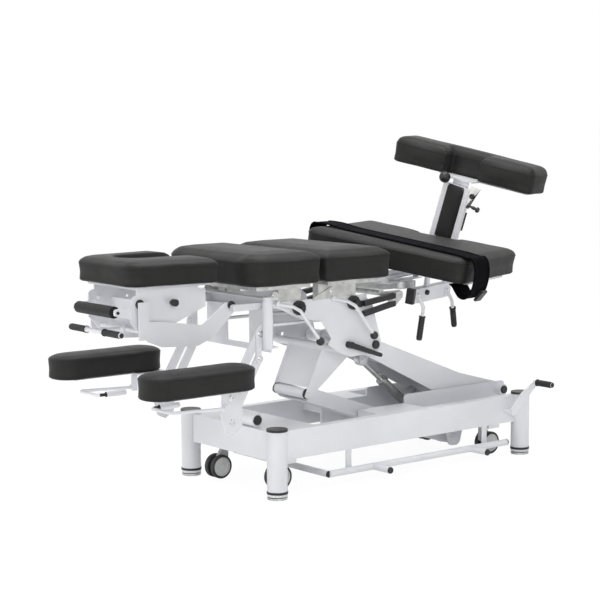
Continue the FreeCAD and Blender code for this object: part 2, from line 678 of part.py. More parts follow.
def castor_wheel(name, x, y, z):
    """One wheel with a rounded tread and a dished disc, turned about its axle."""
    half = s.castor_wheel_wall / 2
    dish = half * 0.35
    radius = s.castor_wheel_radius
    rim = radius * 0.82
    points = [
        (0, -half + dish), (rim, -half + dish), (rim, -half), (radius - dish, -half),
        (radius, -half + dish), (radius, half - dish), (radius - dish, half), (rim, half),
        (rim, half - dish), (0, half - dish),
    ]
    body = doc.addObject("PartDesign::Body", name)
    sketch = outline_sketch(body, name + "_profile", "XY_Plane", points)
    turned = body.newObject("PartDesign::Revolution", name + "_turned")
    turned.Profile = sketch
    turned.ReferenceAxis = (sketch, ["V_Axis"])
    turned.Angle = 360
    body.Tip = turned
    body.Placement = moved(x, y, z)
    return body


def make_castor_lever():
    """The pedal arm at the foot end that lets the castors down, with its shaft and its grip."""
    outer = s.leg_reach_y + s.leg_radius + s.leg_cap_lip + s.seat_gap
    y = -outer - s.lever_arm_wall / 2
    x = s.lever_pivot_x
    half = s.lever_arm_depth / 2
    points = [
        (-half, -half), (half, -half), (s.lever_reach_x * 0.5, s.lever_rise * 0.5 - half),
        (s.lever_reach_x, s.lever_rise - half), (s.lever_reach_x, s.lever_rise + half),
        (s.lever_reach_x * 0.3, s.lever_rise * 0.62), (-half, half),
    ]
    corners = [(half * 0.9, (0, 1)), (half * 0.8, (4,))]
    arm = plate("castor_lever_arm", "XZ_Plane", points, s.lever_arm_wall, (), corners,
                x, y, s.lever_pivot_z)
    shaft_length = outer + s.lever_arm_wall - s.leg_reach_y - s.seat_gap
    shaft = bar("castor_lever_shaft", half * 0.8, shaft_length, x,
                y - s.lever_arm_wall / 2, s.lever_pivot_z, "Y")
    grip = bar("castor_lever_grip", s.lever_grip_radius, s.lever_grip_length,
               x + s.lever_reach_x - s.lever_grip_radius, y - s.lever_grip_length,
               s.lever_pivot_z + s.lever_rise, "Y")
    node("castor_lever", fuse("castor_lever", arm, shaft, grip))


# Lift linkage

LIFT_ANGLE = math.degrees(math.atan2(float(s.lift_rise), float(s.lift_run)))
LIFT_LENGTH = Size(
    math.hypot(float(s.lift_rise), float(s.lift_run)),
    "sqrt(Sizes.lift_rise * Sizes.lift_rise + Sizes.lift_run * Sizes.lift_run)",
)
HEAD_PIVOT_X = s.lift_pivot_x - s.lift_run
HEAD_PIVOT_Z = s.lift_pivot_z + s.lift_rise
LINK_HEAD_X = s.link_pivot_x - s.lift_run
LINK_HEAD_Z = s.link_pivot_z + s.lift_rise
SLOPE = FreeCAD.Rotation(ABOUT_Y, LIFT_ANGLE)


def make_lift():
    make_lift_arm()
    make_lower_link()
    make_actuator()


def make_lift_arm():
    """The lifting arm: a channel open below, in its own frame from the upper pivot down."""
    frame = BASE.multiply(moved(HEAD_PIVOT_X, 0, HEAD_PIVOT_Z, SLOPE))
    length = LIFT_LENGTH
    head = s.arm_head_depth
    points = [
        (-s.arm_end_radius * 0.9, -head * 0.8), (s.arm_end_radius, -head),
        (length * 0.56, -s.arm_belly_depth),
        (length * 0.78, -s.arm_belly_depth), (length + s.arm_end_radius * 0.2, -s.arm_end_radius),
        (length + s.arm_end_radius, 0), (length * 0.985, s.arm_end_radius * 0.85),
        (length * 0.72, head * 0.34), (s.arm_end_radius * 3, head * 0.78), (0, head * 0.85),
        (-s.arm_end_radius * 0.9, head * 0.5),
    ]
    corners = [(s.arm_end_radius * 0.6, (0, 10)), (s.arm_end_radius * 0.8, (2, 3))]
    walls = [plate(f"arm_wall_{number}", "XZ_Plane", points, s.plate_wall, (), corners,
                   y=side * (s.arm_half_width - s.plate_wall / 2))
             for number, side in enumerate((-1, 1))]
    top_low = [(s.arm_end_radius * 3, head * 0.78), (length * 0.72, head * 0.34)]
    top_points = [top_low[0], top_low[1],
                  (top_low[1][0], top_low[1][1] - s.sheet_wall),
                  (top_low[0][0], top_low[0][1] - s.sheet_wall)]
    top = plate("arm_top", "XZ_Plane", top_points, s.arm_half_width * 2 - s.plate_wall)
    foot_points = [top_low[1], (length * 0.93, s.arm_end_radius * 0.7),
                   (length * 0.93, s.arm_end_radius * 0.7 - s.sheet_wall), top_points[2]]
    foot_cover = plate("arm_foot_cover", "XZ_Plane", foot_points,
                       s.arm_half_width * 2 - s.plate_wall)
    web = block("arm_web", s.plate_wall, s.arm_half_width * 2 - s.plate_wall, head * 1.5,
                length * 0.3, 0, -head)
    head_tube = bar("arm_head_tube", s.lift_tube_radius * 0.8,
                    (s.frame_half_width - s.plate_wall - s.seat_gap) * 2, 0, 0, 0, "Y", True)
    head_pin = bar("arm_head_pin", s.lift_pin_radius, (s.frame_half_width + s.washer_wall) * 2,
                   0, 0, 0, "Y", True)
    foot_tube = bar("arm_foot_tube", s.lift_tube_radius,
                    (s.upright_y - s.upright_wall / 2 - s.seat_gap) * 2, length, 0, 0, "Y", True)
    foot_pin = bar("arm_foot_pin", s.lift_pin_radius, s.upright_y * 2 + s.upright_wall, length,
                   0, 0, "Y", True)
    lugs = [clevis_lug(f"actuator_clevis_{number}", side) for number, side in enumerate((-1, 1))]
    spot = arm_local(s.actuator_top_x, s.actuator_top_z)
    lugs.append(bar("actuator_clevis_pin", s.pin_radius, s.actuator_eye_wall + s.clevis_wall * 3,
                    spot.x, 0, spot.z, "Y", True))
    solids = [*walls, top, foot_cover, web, head_tube, head_pin, foot_tube, foot_pin, *lugs]
    node("lift_arm", fuse("lift_arm", *solids), frame)


def arm_local(x, z):
    """A place of the side view, measured along the arm and square to it."""
    away = vector(x - HEAD_PIVOT_X, 0, z - HEAD_PIVOT_Z)
    return SLOPE.inverted().multVec(away)


def clevis_lug(name, side):
    """One ear under the arm's top that holds the actuator's upper pin."""
    spot = arm_local(s.actuator_top_x, s.actuator_top_z)
    ear = s.actuator_eye_radius
    top = s.arm_head_depth * 0.7
    x, z = spot.x, spot.z
    points = [
        (x - ear, z - ear), (x + ear, z - ear), (x + ear * 2, top), (x - ear * 2, top),
    ]
    y = side * (s.actuator_eye_wall / 2 + s.clevis_wall / 2 + s.seat_gap)
    return plate(name, "XZ_Plane", points, s.clevis_wall, (), [(ear * 0.8, (0, 1))], y=y)


def make_lower_link():
    """The lower link: a channel open below with ribs, from its base pivot to the link box."""
    frame = BASE.multiply(moved(LINK_HEAD_X, 0, LINK_HEAD_Z, SLOPE))
    length = LIFT_LENGTH
    half = s.link_depth / 2
    tube = s.link_tube_radius
    points = [
        (-tube, -tube * 0.5), (tube, -half), (length - tube * 2, -half), (length + tube, -tube),
        (length + tube, tube), (length - tube * 2, half), (tube, half), (-tube, tube * 0.5),
    ]
    holes = [(length, 0, s.lift_pin_radius + s.running_gap)]
    walls = [plate(f"link_wall_{number}", "XZ_Plane", points, s.plate_wall, holes,
                   [(tube * 0.7, (3, 4))], y=side * (s.link_half_width - s.plate_wall / 2))
             for number, side in enumerate((-1, 1))]
    width = s.link_half_width * 2 - s.plate_wall
    floor = block("link_floor", length - tube * 6, width, s.sheet_wall, tube * 2, 0, -half)
    ribs = [block(f"link_rib_{number}", s.plate_wall, width, half, length * share, 0, -half)
            for number, share in enumerate((0.3, 0.55, 0.8))]
    head_tube = bar("link_head_tube", tube, s.link_half_width * 2, 0, 0, 0, "Y", True)
    bodies = [*walls, floor, *ribs, head_tube]
    clear = bar("link_head_bore", s.pin_radius + s.seat_gap,
                s.link_half_width * 3, 0, 0, 0, "Y", True)
    node("lower_link", cut("lower_link", fuse("link_weldment", *bodies), clear), frame)


def actuator_frame():
    """Where the actuator stands: at its lower pivot, its rod along the frame's X axis."""
    run = float(s.actuator_top_x - s.actuator_foot_x)
    rise = float(s.actuator_top_z - s.actuator_foot_z)
    turn = FreeCAD.Rotation(ABOUT_Y, -math.degrees(math.atan2(rise, run)))
    return BASE.multiply(moved(s.actuator_foot_x, 0, s.actuator_foot_z, turn)), math.hypot(run, rise)


def make_actuator():
    """The electric actuator: its tube with gearbox and motor, and its rod with an eye."""
    frame, reach = actuator_frame()
    foot_eye = ring("actuator_foot_eye", s.actuator_eye_radius, s.pin_radius + s.running_gap,
                    s.actuator_eye_wall, 0, 0, 0, "Y", True)
    gearbox = block("gearbox", s.motor_radius * 2, s.motor_radius * 1.7, s.motor_radius * 2,
                    s.actuator_eye_radius * 0.6, 0, -s.motor_radius)
    tube_start = s.actuator_eye_radius + s.motor_radius
    tube = bar("actuator_tube", s.actuator_tube_radius, s.actuator_tube_length, tube_start,
               0, 0, "X")
    collar_start = tube_start + s.actuator_tube_length
    collar = bar("actuator_collar", s.actuator_tube_radius * 1.2, s.actuator_tube_radius,
                 collar_start - s.actuator_tube_radius, 0, 0, "X")
    motor = bar("actuator_motor", s.motor_radius, s.motor_length, s.motor_radius, 0,
                -s.motor_rise, "X")
    bore = bar("actuator_bore", s.actuator_rod_radius + s.running_gap, s.actuator_tube_length * 2,
               tube_start + s.motor_radius * 2, 0, 0, "X")
    body = fuse("actuator_shell", foot_eye, gearbox, tube, collar, motor)
    eye_bore = bar("actuator_foot_bore", s.pin_radius + s.running_gap, s.motor_radius * 4,
                   0, 0, 0, "Y", True)
    node("actuator_body", cut("actuator_body", body, bore, eye_bore), frame)
    rod_start = collar_start - s.actuator_tube_length * 0.55
    rod_end = reach - s.actuator_eye_radius * 0.8
    rod = bar("actuator_rod_bar", s.actuator_rod_radius, rod_end - rod_start, rod_start, 0, 0, "X")
    eye = bar("actuator_eye", s.actuator_eye_radius * 1.3, s.actuator_eye_wall, reach, 0, 0,
              "Y", True)
    hole = bar("actuator_eye_bore", s.pin_radius + s.actuator_eye_play, s.actuator_eye_wall * 2,
               reach, 0, 0, "Y", True)
    node("actuator_rod", cut("actuator_rod", fuse("actuator_rod_solid", rod, eye), hole), frame)


# Upper frame

SIDE_PLATE_SHARES = [
    (0.0, 0.93), (0.02, 1.0), (0.86, 1.0), (0.86, 0.94), (0.91, 0.86), (1.0, 0.19), (0.985, 0.05),
    (0.87, 0.02), (0.71, 0.0), (0.6, 0.1), (0.5, 0.24), (0.53, 0.34), (0.44, 0.64),
    (0.26, 0.69), (0.1, 0.86),
]


def make_upper_frame():
    node("side_plates", mirrored_pair("side_plates", side_plate))
    cross = s.frame_half_width * 2 - s.plate_wall
    second_x = s.gusset_foot_x - s.cap_radius
    tubes = [
        bar("frame_cross_tube", s.frame_tube_radius, cross, s.frame_tube_x, 0,
            s.frame_tube_z, "Y", True),
        bar("frame_second_tube", s.frame_tube_radius, cross, second_x, 0,
            s.second_tube_z, "Y", True),
    ]
    beam_y = cross
    beam_low = s.head_beam_z
    beam_back = block("beam_back", s.plate_wall, beam_y, s.head_beam_height,
                      s.head_beam_x + s.head_beam_wall, 0, beam_low)
    beam_top = block("beam_top", s.head_beam_wall, beam_y, s.sheet_wall, s.head_beam_x, 0,
                     beam_low + s.head_beam_height - s.sheet_wall)
    beam_bottom = block("beam_bottom", s.head_beam_wall, beam_y, s.sheet_wall, s.head_beam_x, 0,
                        beam_low)
    bulkheads = [
        block(f"bulkhead_{number}", s.plate_wall, s.bulkhead_width, s.bulkhead_height,
              s.head_beam_x + s.head_beam_wall,
              side * (s.frame_half_width - s.plate_wall / 2 - s.bulkhead_width / 2),
              beam_low - s.bulkhead_height)
        for number, side in enumerate((-1, 1))
    ]
    low_strip = block("bulkhead_low_strip", s.plate_wall, beam_y,
                      s.head_beam_height / 2, s.head_beam_x + s.head_beam_wall, 0,
                      beam_low - s.bulkhead_height)
    rod_start = s.head_beam_x + s.head_beam_wall + s.plate_wall
    rods = [
        bar(f"frame_rod_{number}", s.cock_rod_radius, second_x - rod_start, rod_start,
            side * (s.frame_half_width - s.bulkhead_width / 2), s.second_tube_z, "X")
        for number, side in enumerate((-1, 1))
    ]
    front = link_box_front()
    cheeks = [link_box_cheek(f"link_box_cheek_{number}", side)
              for number, side in enumerate((-1, 1))]
    pin = bar("link_box_pin", s.pin_radius, s.link_box_half_width * 2 + s.washer_wall * 2,
              LINK_HEAD_X, 0, LINK_HEAD_Z, "Y", True)
    arm_lugs = [arm_lug(f"head_pivot_lug_{number}", side) for number, side in enumerate((-1, 1))]
    rests = [rest_socket(f"rest_socket_{number}", side) for number, side in enumerate((-1, 1))]
    head_frame = fuse("head_frame", beam_back, beam_top, beam_bottom, *bulkheads, low_strip,
                      *arm_lugs, *rests)
    bores = [bar(f"rest_socket_bore_{number}", s.pin_radius + s.running_gap,
                 s.arm_swivel_top, s.arm_swivel_x, side * s.arm_swivel_y, s.arm_swivel_low / 2)
             for number, side in enumerate((-1, 1))]
    link_box = fuse("link_box", *tubes, *rods, front, *cheeks, pin, refine=False)
    node("upper_frame", group("upper_frame", cut("head_frame_bored", head_frame, *bores), link_box))
    node("leg_hinge_plates", mirrored_pair("leg_hinge_plates", hinge_plate))


def side_plate(name, side):
    """One side of the upper frame: a long top rail and a leg down to the lift's pivot."""
    points = scaled(s.side_plate_length, s.side_plate_height, SIDE_PLATE_SHARES,
                    s.side_plate_head_x, s.side_plate_low_z)
    holes = [(HEAD_PIVOT_X, HEAD_PIVOT_Z, s.lift_pin_radius + s.running_gap)]
    for x in (s.thoracic_wheel_x, s.pelvic_wheel_x):
        holes.append((x, s.wheel_z, s.pin_radius + s.running_gap))
    holes.append((s.clamp_hub_x, s.clamp_hub_z, s.pin_radius + s.running_gap))
    corners = [(s.cap_radius, (4, 5, 6)), (s.frame_tube_radius, (9, 12))]
    return plate(name, "XZ_Plane", points, s.plate_wall, holes, corners,
                 y=side * s.frame_half_width)


def link_box_front():
    """The broad front plate of the link box, from the cross tube down to the link's pivot."""
    run = s.frame_tube_x - LINK_HEAD_X
    rise = s.frame_tube_z - LINK_HEAD_Z
    wall = s.sheet_wall
    clear = s.link_tube_radius + s.plate_wall
    share = float(clear) / math.hypot(float(run), float(rise))
    low_x, low_z = LINK_HEAD_X + run * share, LINK_HEAD_Z + rise * share
    points = [
        (low_x - wall, low_z), (low_x, low_z), (s.frame_tube_x, s.frame_tube_z),
        (s.frame_tube_x - wall, s.frame_tube_z),
    ]
    return plate("link_box_front", "XZ_Plane", points, s.link_box_half_width * 2 - s.plate_wall)


def link_box_cheek(name, side):
    """A side gusset of the link box that narrows to the link's pivot."""
    nose = s.link_tube_radius
    points = [
        (LINK_HEAD_X - nose, LINK_HEAD_Z - nose * 0.5),
        (LINK_HEAD_X - nose * 0.2, LINK_HEAD_Z - nose),
        (LINK_HEAD_X + nose, LINK_HEAD_Z - nose * 0.3), (s.gusset_foot_x, s.gusset_foot_z),
        (s.gusset_foot_x, s.gusset_foot_z + s.link_box_half_width / 3),
        (s.frame_tube_x + s.frame_tube_radius, s.frame_tube_z + s.frame_tube_radius * 0.6),
        (s.frame_tube_x - s.frame_tube_radius * 0.6, s.frame_tube_z),
    ]
    return plate(name, "XZ_Plane", points, s.plate_wall, (), [(nose * 0.5, (0, 1, 2))],
                 y=side * (s.link_box_half_width - s.plate_wall / 2))


def arm_lug(name, side):
    """A lug on the head beam that carries the head arm's pivot."""
    tip_x = s.head_pivot_x
    y = side * (s.head_arm_y + s.plate_wall + s.head_beam_lug / 2 + s.seat_gap)
    back = s.head_beam_x + s.head_beam_wall
    half = s.head_beam_lug / 2
    points = [
        (tip_x - half, s.head_pivot_z - half), (back, s.head_beam_z), (back, s.head_pivot_z + half),
        (tip_x - half, s.head_pivot_z + half),
    ]
    lug = plate(name + "_plate", "XZ_Plane", points, s.head_beam_lug,
                [(tip_x, s.head_pivot_z, s.pin_radius + s.running_gap)],
                [(half * 0.9, (0, 3))], y=y)
    return lug


def rest_socket(name, side):
    """The bracket that holds an armrest's upright swivel pin."""
    low = s.arm_swivel_low - s.plate_wall - s.seat_gap
    back = s.head_beam_x + s.head_beam_wall
    inner = s.frame_half_width - s.plate_wall
    width = s.arm_swivel_y - inner
    middle_y = side * (inner + width / 2)
    length = back + s.plate_wall - s.arm_swivel_x + s.pin_radius
    parts = []
    for level, z in enumerate((low, s.arm_swivel_top + s.seat_gap)):
        parts.append(block(f"{name}_arm_{level}", length, width, s.plate_wall,
                           s.arm_swivel_x - s.pin_radius, middle_y, z))
        parts.append(bar(f"{name}_eye_{level}", s.arm_swivel_radius * 0.9, s.plate_wall,
                         s.arm_swivel_x, side * s.arm_swivel_y, z))
    back_height = s.arm_swivel_top - low + s.plate_wall
    back_width = s.frame_half_width - s.plate_wall / 2 - s.head_arm_y
    parts.append(block(name + "_back", s.plate_wall, back_width, back_height, back,
                       side * (s.head_arm_y + back_width / 2), low))
    return fuse(name, *parts)


def hinge_plate(name, side):
    """A zinc plate with the leg section's hinge hole, held by two black bars."""
    face = s.frame_half_width + s.plate_wall / 2
    reach = s.hinge_plate_reach
    height = s.hinge_plate_height
    nose = s.flex_x + s.cap_radius
    low = s.flex_z - height * 0.75
    points = [
        (s.flex_x - reach, low), (s.flex_x - reach * 0.5, low), (nose, s.flex_z - s.cap_radius),
        (nose, s.flex_z + s.cap_radius), (s.flex_x - reach, s.flex_z),
    ]
    holes = [(s.flex_x, s.flex_z, s.pin_radius + s.running_gap)]
    ear = plate(name + "_ear", "XZ_Plane", points, s.sheet_wall, holes,
                [(s.cap_radius * 0.8, (2, 3))], y=side * (face + s.sheet_wall / 2))
    bars = []
    half = s.hinge_bar_width / 2
    start_x = s.gusset_foot_x - s.hinge_bar_width
    end_x = s.flex_x - reach * 0.6
    for number, (start_share, end_share) in enumerate(((0.95, 0.5), (0.35, 0.05))):
        start_z = s.flex_z - height * start_share
        end_z = s.flex_z - height * end_share
        run = [
            (start_x, start_z - half), (end_x, end_z - half), (end_x, end_z + half),
            (start_x, start_z + half),
        ]
        bars.append(plate(f"{name}_bar_{number}", "XZ_Plane", run, s.hinge_bar_width,
                          y=side * (face + half)))
    return fuse(name, ear, *bars)


# Middle sections

def make_sections():
    make_section("thoracic", s.thoracic_head_x, s.thoracic_foot_x, s.section_round,
                 s.thoracic_channel_x, s.thoracic_channel_length)
    make_section("pelvic", s.pelvic_head_x, s.pelvic_foot_x, s.section_corner,
                 s.pelvic_channel_x, s.pelvic_channel_length)
    for name, wheel_x in (("thoracic", s.thoracic_wheel_x), ("pelvic", s.pelvic_wheel_x)):
        make_hand_wheel(name, wheel_x)
        make_cocking_lever(name, wheel_x)


def make_section(name, head_x, foot_x, head_round, channel_x, channel_length):
    """One drop section: its cushion, and the board, channels and posts that drop with it."""
    half = s.section_half_width
    corners = [(head_x, -half, head_round), (foot_x, -half, s.section_corner),
               (foot_x, half, s.section_corner), (head_x, half, head_round)]
    pad = cushion(f"{name}_cushion", corners, s.section_bottom, s.section_seam,
                  s.section_crown, s.section_draw, s.section_round)
    node(f"{name}_cushion", pad)
    inset = s.section_board_inset
    board_top = s.section_bottom - s.seat_gap
    board_low = board_top - s.section_board
    length = foot_x - head_x - inset * 2
    middle_x = (head_x + foot_x) / 2
    parts = [block(f"{name}_board", length, half * 2 - inset * 2, s.section_board, middle_x, 0,
                   board_low, "xy")]
    frame_top = s.side_plate_low_z + s.side_plate_height + s.seat_gap
    channel_y = s.frame_half_width + s.plate_wall / 2 - s.drop_post_width / 2
    post_y = channel_y - s.drop_post_width / 2 - s.plate_wall / 2
    post_low = s.wheel_z + s.wheel_radius * 0.6
    post_x = channel_x + channel_length / 2
    for number, side in enumerate((-1, 1)):
        parts.append(block(f"{name}_channel_{number}", channel_length, s.drop_post_width,
                           board_low - frame_top, channel_x, side * channel_y, frame_top))
        parts.append(block(f"{name}_post_{number}", s.drop_post_width, s.plate_wall * 2,
                           board_low - post_low, post_x, side * post_y, post_low, "xy"))
    node(f"{name}_plate", fuse(f"{name}_plate", *parts))


def make_hand_wheel(name, x):
    """A lobed hand wheel that sets how hard the section drops, on its threaded stem."""
    y = -s.frame_half_width - s.plate_wall / 2 - s.seat_gap
    stem_length = s.wheel_wall + s.plate_wall * 3
    stem = bar(f"{name}_wheel_stem", s.pin_radius, stem_length, x, y - s.wheel_wall,
               s.wheel_z, "Y")
    rim = bar(f"{name}_wheel_rim", s.wheel_radius, s.wheel_wall, x, y - s.wheel_wall,
              s.wheel_z, "Y")
    hub = bar(f"{name}_wheel_hub", s.wheel_hub_radius, s.wheel_wall * 0.5,
              x, y - s.wheel_wall * 1.5, s.wheel_z, "Y")
    turn = FreeCAD.Rotation(ABOUT_Y, 360 / LOBES)
    grooves = []
    reach = vector(0, 0, s.wheel_radius * 1.08)
    for number in range(LOBES):
        grooves.append(bar(f"{name}_wheel_groove_{number}", s.wheel_radius * 0.14,
                           s.wheel_wall * 2, x + reach.x, y - s.wheel_wall * 1.5,
                           s.wheel_z + reach.z, "Y"))
        reach = turn.multVec(reach)
    lobed = cut(f"{name}_wheel_lobed", rim, *grooves)
    node(f"{name}_wheel", fuse(f"{name}_wheel", lobed, stem, hub))


LOBES = 12


def make_cocking_lever(name, wheel_x):
    """The bent rod with a ball that lifts the section ready for its drop."""
    y = -s.frame_half_width - s.plate_wall / 2 - s.cock_rod_radius - s.seat_gap
    far_x = wheel_x - s.cock_back_x
    top_z = s.wheel_z + s.cock_rise - s.cock_rod_radius
    ball_x = wheel_x + s.cock_reach_x * 0.55
    ball_z = s.wheel_z - s.cock_drop * 0.8
    points = [
        (far_x, y, top_z),
        (wheel_x - s.cock_reach_x * 0.42, y - s.wheel_wall * 1.6, top_z - s.cock_rise * 0.4),
        (wheel_x - s.cock_reach_x * 0.2, y - s.wheel_wall * 2.6, top_z - s.cock_rise),
        (ball_x, y - s.wheel_wall * 3, ball_z),
    ]
    rod = bent_rod(f"{name}_lever_rod", points, s.cock_rod_radius, s.cock_rise * 0.6)
    grip = ball(f"{name}_lever_ball", s.cock_ball_radius, ball_x, y - s.wheel_wall * 3, ball_z)
    hub = bar(f"{name}_lever_hub", s.cock_rod_radius * 1.5, s.cock_rod_radius * 2, far_x, y, top_z,
              "Y", True)
    node(f"{name}_lever", fuse(f"{name}_lever", rod, grip, hub))


def make_clamp_lever():
    """The handle that clamps the upper frame's sliding parts, on its hub."""
    y = -s.frame_half_width - s.plate_wall / 2 - s.seat_gap
    hub = bar("clamp_hub", s.clamp_hub_radius, s.clamp_hub_radius * 2, s.clamp_hub_x,
              y - s.clamp_hub_radius * 2, s.clamp_hub_z, "Y")
    stem = bar("clamp_stem", s.pin_radius, s.plate_wall * 3, s.clamp_hub_x, y, s.clamp_hub_z, "Y")
    half = s.clamp_tip_radius
    points = [
        (s.clamp_hub_x, s.clamp_hub_z - s.clamp_hub_radius * 0.9),
        (s.clamp_hub_x + s.clamp_reach_x, s.clamp_hub_z - s.clamp_drop - half),
        (s.clamp_hub_x + s.clamp_reach_x, s.clamp_hub_z - s.clamp_drop + half),
        (s.clamp_hub_x, s.clamp_hub_z + s.clamp_hub_radius * 0.9),
    ]
    grip = plate("clamp_grip", "XZ_Plane", points, half * 1.6, (), [(half * 0.9, (1, 2))],
                 y=y - s.clamp_hub_radius * 1.2)
    node("clamp_lever", fuse("clamp_lever", hub, stem, grip))


# Head section

HEAD_ARM_SHARES = [
    (0.0, 0.42), (0.1, 0.2), (0.24, 0.06), (0.62, 0.0), (0.8, 0.16), (1.03, 0.7), (1.03, 0.87),
    (0.94, 0.92), (0.84, 0.74), (0.68, 0.46), (0.3, 0.6), (0.06, 0.66),
]
CHEEK_SHARES = [
    (0.0, 0.3), (0.14, 0.0), (0.6, 0.24), (1.0, 0.54), (1.0, 0.94), (0.05, 0.89), (0.0, 0.83),
]


def make_head():
    node("head_arm", fuse("head_arm", *head_arm_parts()))
    node("head_tray", make_head_tray())
    make_head_cushion()
    make_head_fittings()


def head_arm_parts():
    """The two cranked arms that carry the head section, with their cross tubes."""
    points = scaled(s.head_arm_length, s.head_arm_height, HEAD_ARM_SHARES,
                    s.head_pivot_x - s.head_arm_length, s.head_arm_low_z)
    corners = [(s.head_arm_height * 0.16, (3, 4)), (s.head_arm_height * 0.12, (8, 9)),
               (s.head_arm_height * 0.05, (5, 6))]
    parts = []
    for number, side in enumerate((-1, 1)):
        parts.append(plate(f"head_arm_plate_{number}", "XZ_Plane", points, s.plate_wall, (),
                           corners, y=side * s.head_arm_y))
        pin_length = s.head_beam_lug + s.plate_wall + s.seat_gap * 2
        parts.append(bar(f"head_arm_pin_{number}", s.pin_radius, pin_length, s.head_pivot_x,
                         side * (s.head_arm_y + pin_length / 2), s.head_pivot_z, "Y", True))
        tray_pin = s.head_arm_y - s.cheek_y + s.plate_wall
        parts.append(bar(f"tray_pin_{number}", s.pin_radius, tray_pin * 2,
                         s.tray_pivot_x + s.pin_radius, side * s.cheek_y, s.tray_pivot_z, "Y", True))
        ear = block(f"tray_ear_{number}", s.pin_radius * 5, s.plate_wall,
                    s.tray_pivot_z - s.head_arm_low_z - s.head_arm_height * 0.2,
                    s.tray_pivot_x + s.pin_radius, side * s.head_arm_y,
                    s.head_arm_low_z + s.head_arm_height * 0.25, "xy")
        parts.append(ear)
    low_z = s.head_arm_low_z + s.head_arm_height * 0.16
    parts.append(bar("head_arm_cross", s.frame_tube_radius, s.head_arm_y * 2,
                     s.head_pivot_x - s.head_arm_length * 0.4, 0, low_z, "Y", True))
    return parts


def handle_hub_x():
    """Where the hub of the T-handle turns on the tray's front axle."""
    return s.cheek_head_x + s.roller_radius * 2.5


def make_head_tray():
    """The head cushion's metal tray: two cheeks and the board between them."""
    points = scaled(s.cheek_length, s.cheek_height, CHEEK_SHARES, s.cheek_head_x, s.cheek_low_z)
    holes = [(s.tray_pivot_x + s.pin_radius, s.tray_pivot_z, s.pin_radius + s.running_gap),
             (s.pull_pin_x, s.pull_pin_z, s.roller_pin + s.running_gap)]
    parts = []
    for number, side in enumerate((-1, 1)):
        parts.append(plate(f"cheek_{number}", "XZ_Plane", points, s.plate_wall, holes,
                           [(s.pin_radius * 1.6, (5, 6)), (s.pin_radius, (0, 1))],
                           y=side * s.cheek_y))
        ear_points = [
            (s.roller_x - s.roller_pin * 2.6, s.roller_z - s.roller_pin * 2),
            (s.cheek_head_x + s.roller_radius, s.roller_z - s.roller_radius * 1.6),
            (s.cheek_head_x + s.roller_radius, s.roller_z + s.roller_radius * 0.9),
            (s.roller_x - s.roller_pin * 2.6, s.roller_z + s.roller_pin * 2.4),
        ]
        ear_y = side * (s.cheek_y - s.plate_wall)
        parts.append(plate(f"roller_ear_{number}", "XZ_Plane", ear_points, s.plate_wall,
                           [(s.roller_x, s.roller_z, s.roller_pin + s.running_gap)],
                           [(s.roller_pin * 2, (0, 3))], y=ear_y))
    board_low = s.head_cushion_bottom - s.seat_gap - s.head_board
    length = s.cheek_length - s.head_board
    board = block("tray_board", length, s.head_cushion_head_half * 2 - s.head_board_inset * 2,
                  s.head_board, s.cheek_head_x + s.head_board, 0, board_low)
    post_low = s.cheek_low_z + s.cheek_height * 0.82
    posts = [block(f"tray_post_{number}", length * 0.86, s.plate_wall, board_low - post_low,
                   s.cheek_head_x + s.head_board * 2, side * s.cheek_y, post_low)
             for number, side in enumerate((-1, 1))]
    web_low = s.handle_z + s.frame_tube_radius + s.seat_gap
    web = block("tray_web", s.sheet_wall, s.cheek_y * 2, s.tray_pivot_z - web_low,
                handle_hub_x() + s.overrun * 2, 0, web_low)
    axle = bar("handle_axle", s.pin_radius, s.cheek_y * 2, handle_hub_x(), 0, s.handle_z, "Y", True)
    return fuse("head_tray", *parts, board, *posts, web, axle)


def make_head_cushion():
    """The head cushion, with a trough along its middle that is open at the foot end."""
    corners = [
        (s.head_cushion_head_x, -s.head_cushion_head_half, s.head_corner),
        (s.head_cushion_foot_x, -s.head_cushion_foot_half, s.section_corner),
        (s.head_cushion_foot_x, s.head_cushion_foot_half, s.section_corner),
        (s.head_cushion_head_x, s.head_cushion_head_half, s.head_corner),
    ]
    pad = cushion("head_pad", corners, s.head_cushion_bottom, s.head_cushion_seam,
                  s.head_cushion_crown, s.section_draw, s.head_corner)
    length = s.head_cushion_foot_x - s.trough_head_x + s.overrun
    floor = s.head_cushion_crown - s.trough_depth
    points = [
        (s.trough_head_x, -s.trough_half), (s.trough_head_x + length, -s.trough_half),
        (s.trough_head_x + length, s.trough_half), (s.trough_head_x, s.trough_half),
    ]
    depth = s.trough_depth * 2
    trough = plate("trough", "XY_Plane", points, depth, (), [(s.trough_half * 0.8, (0, 3))],
                   z=floor + depth / 2)
    node("head_cushion", cut("head_cushion", pad, trough))


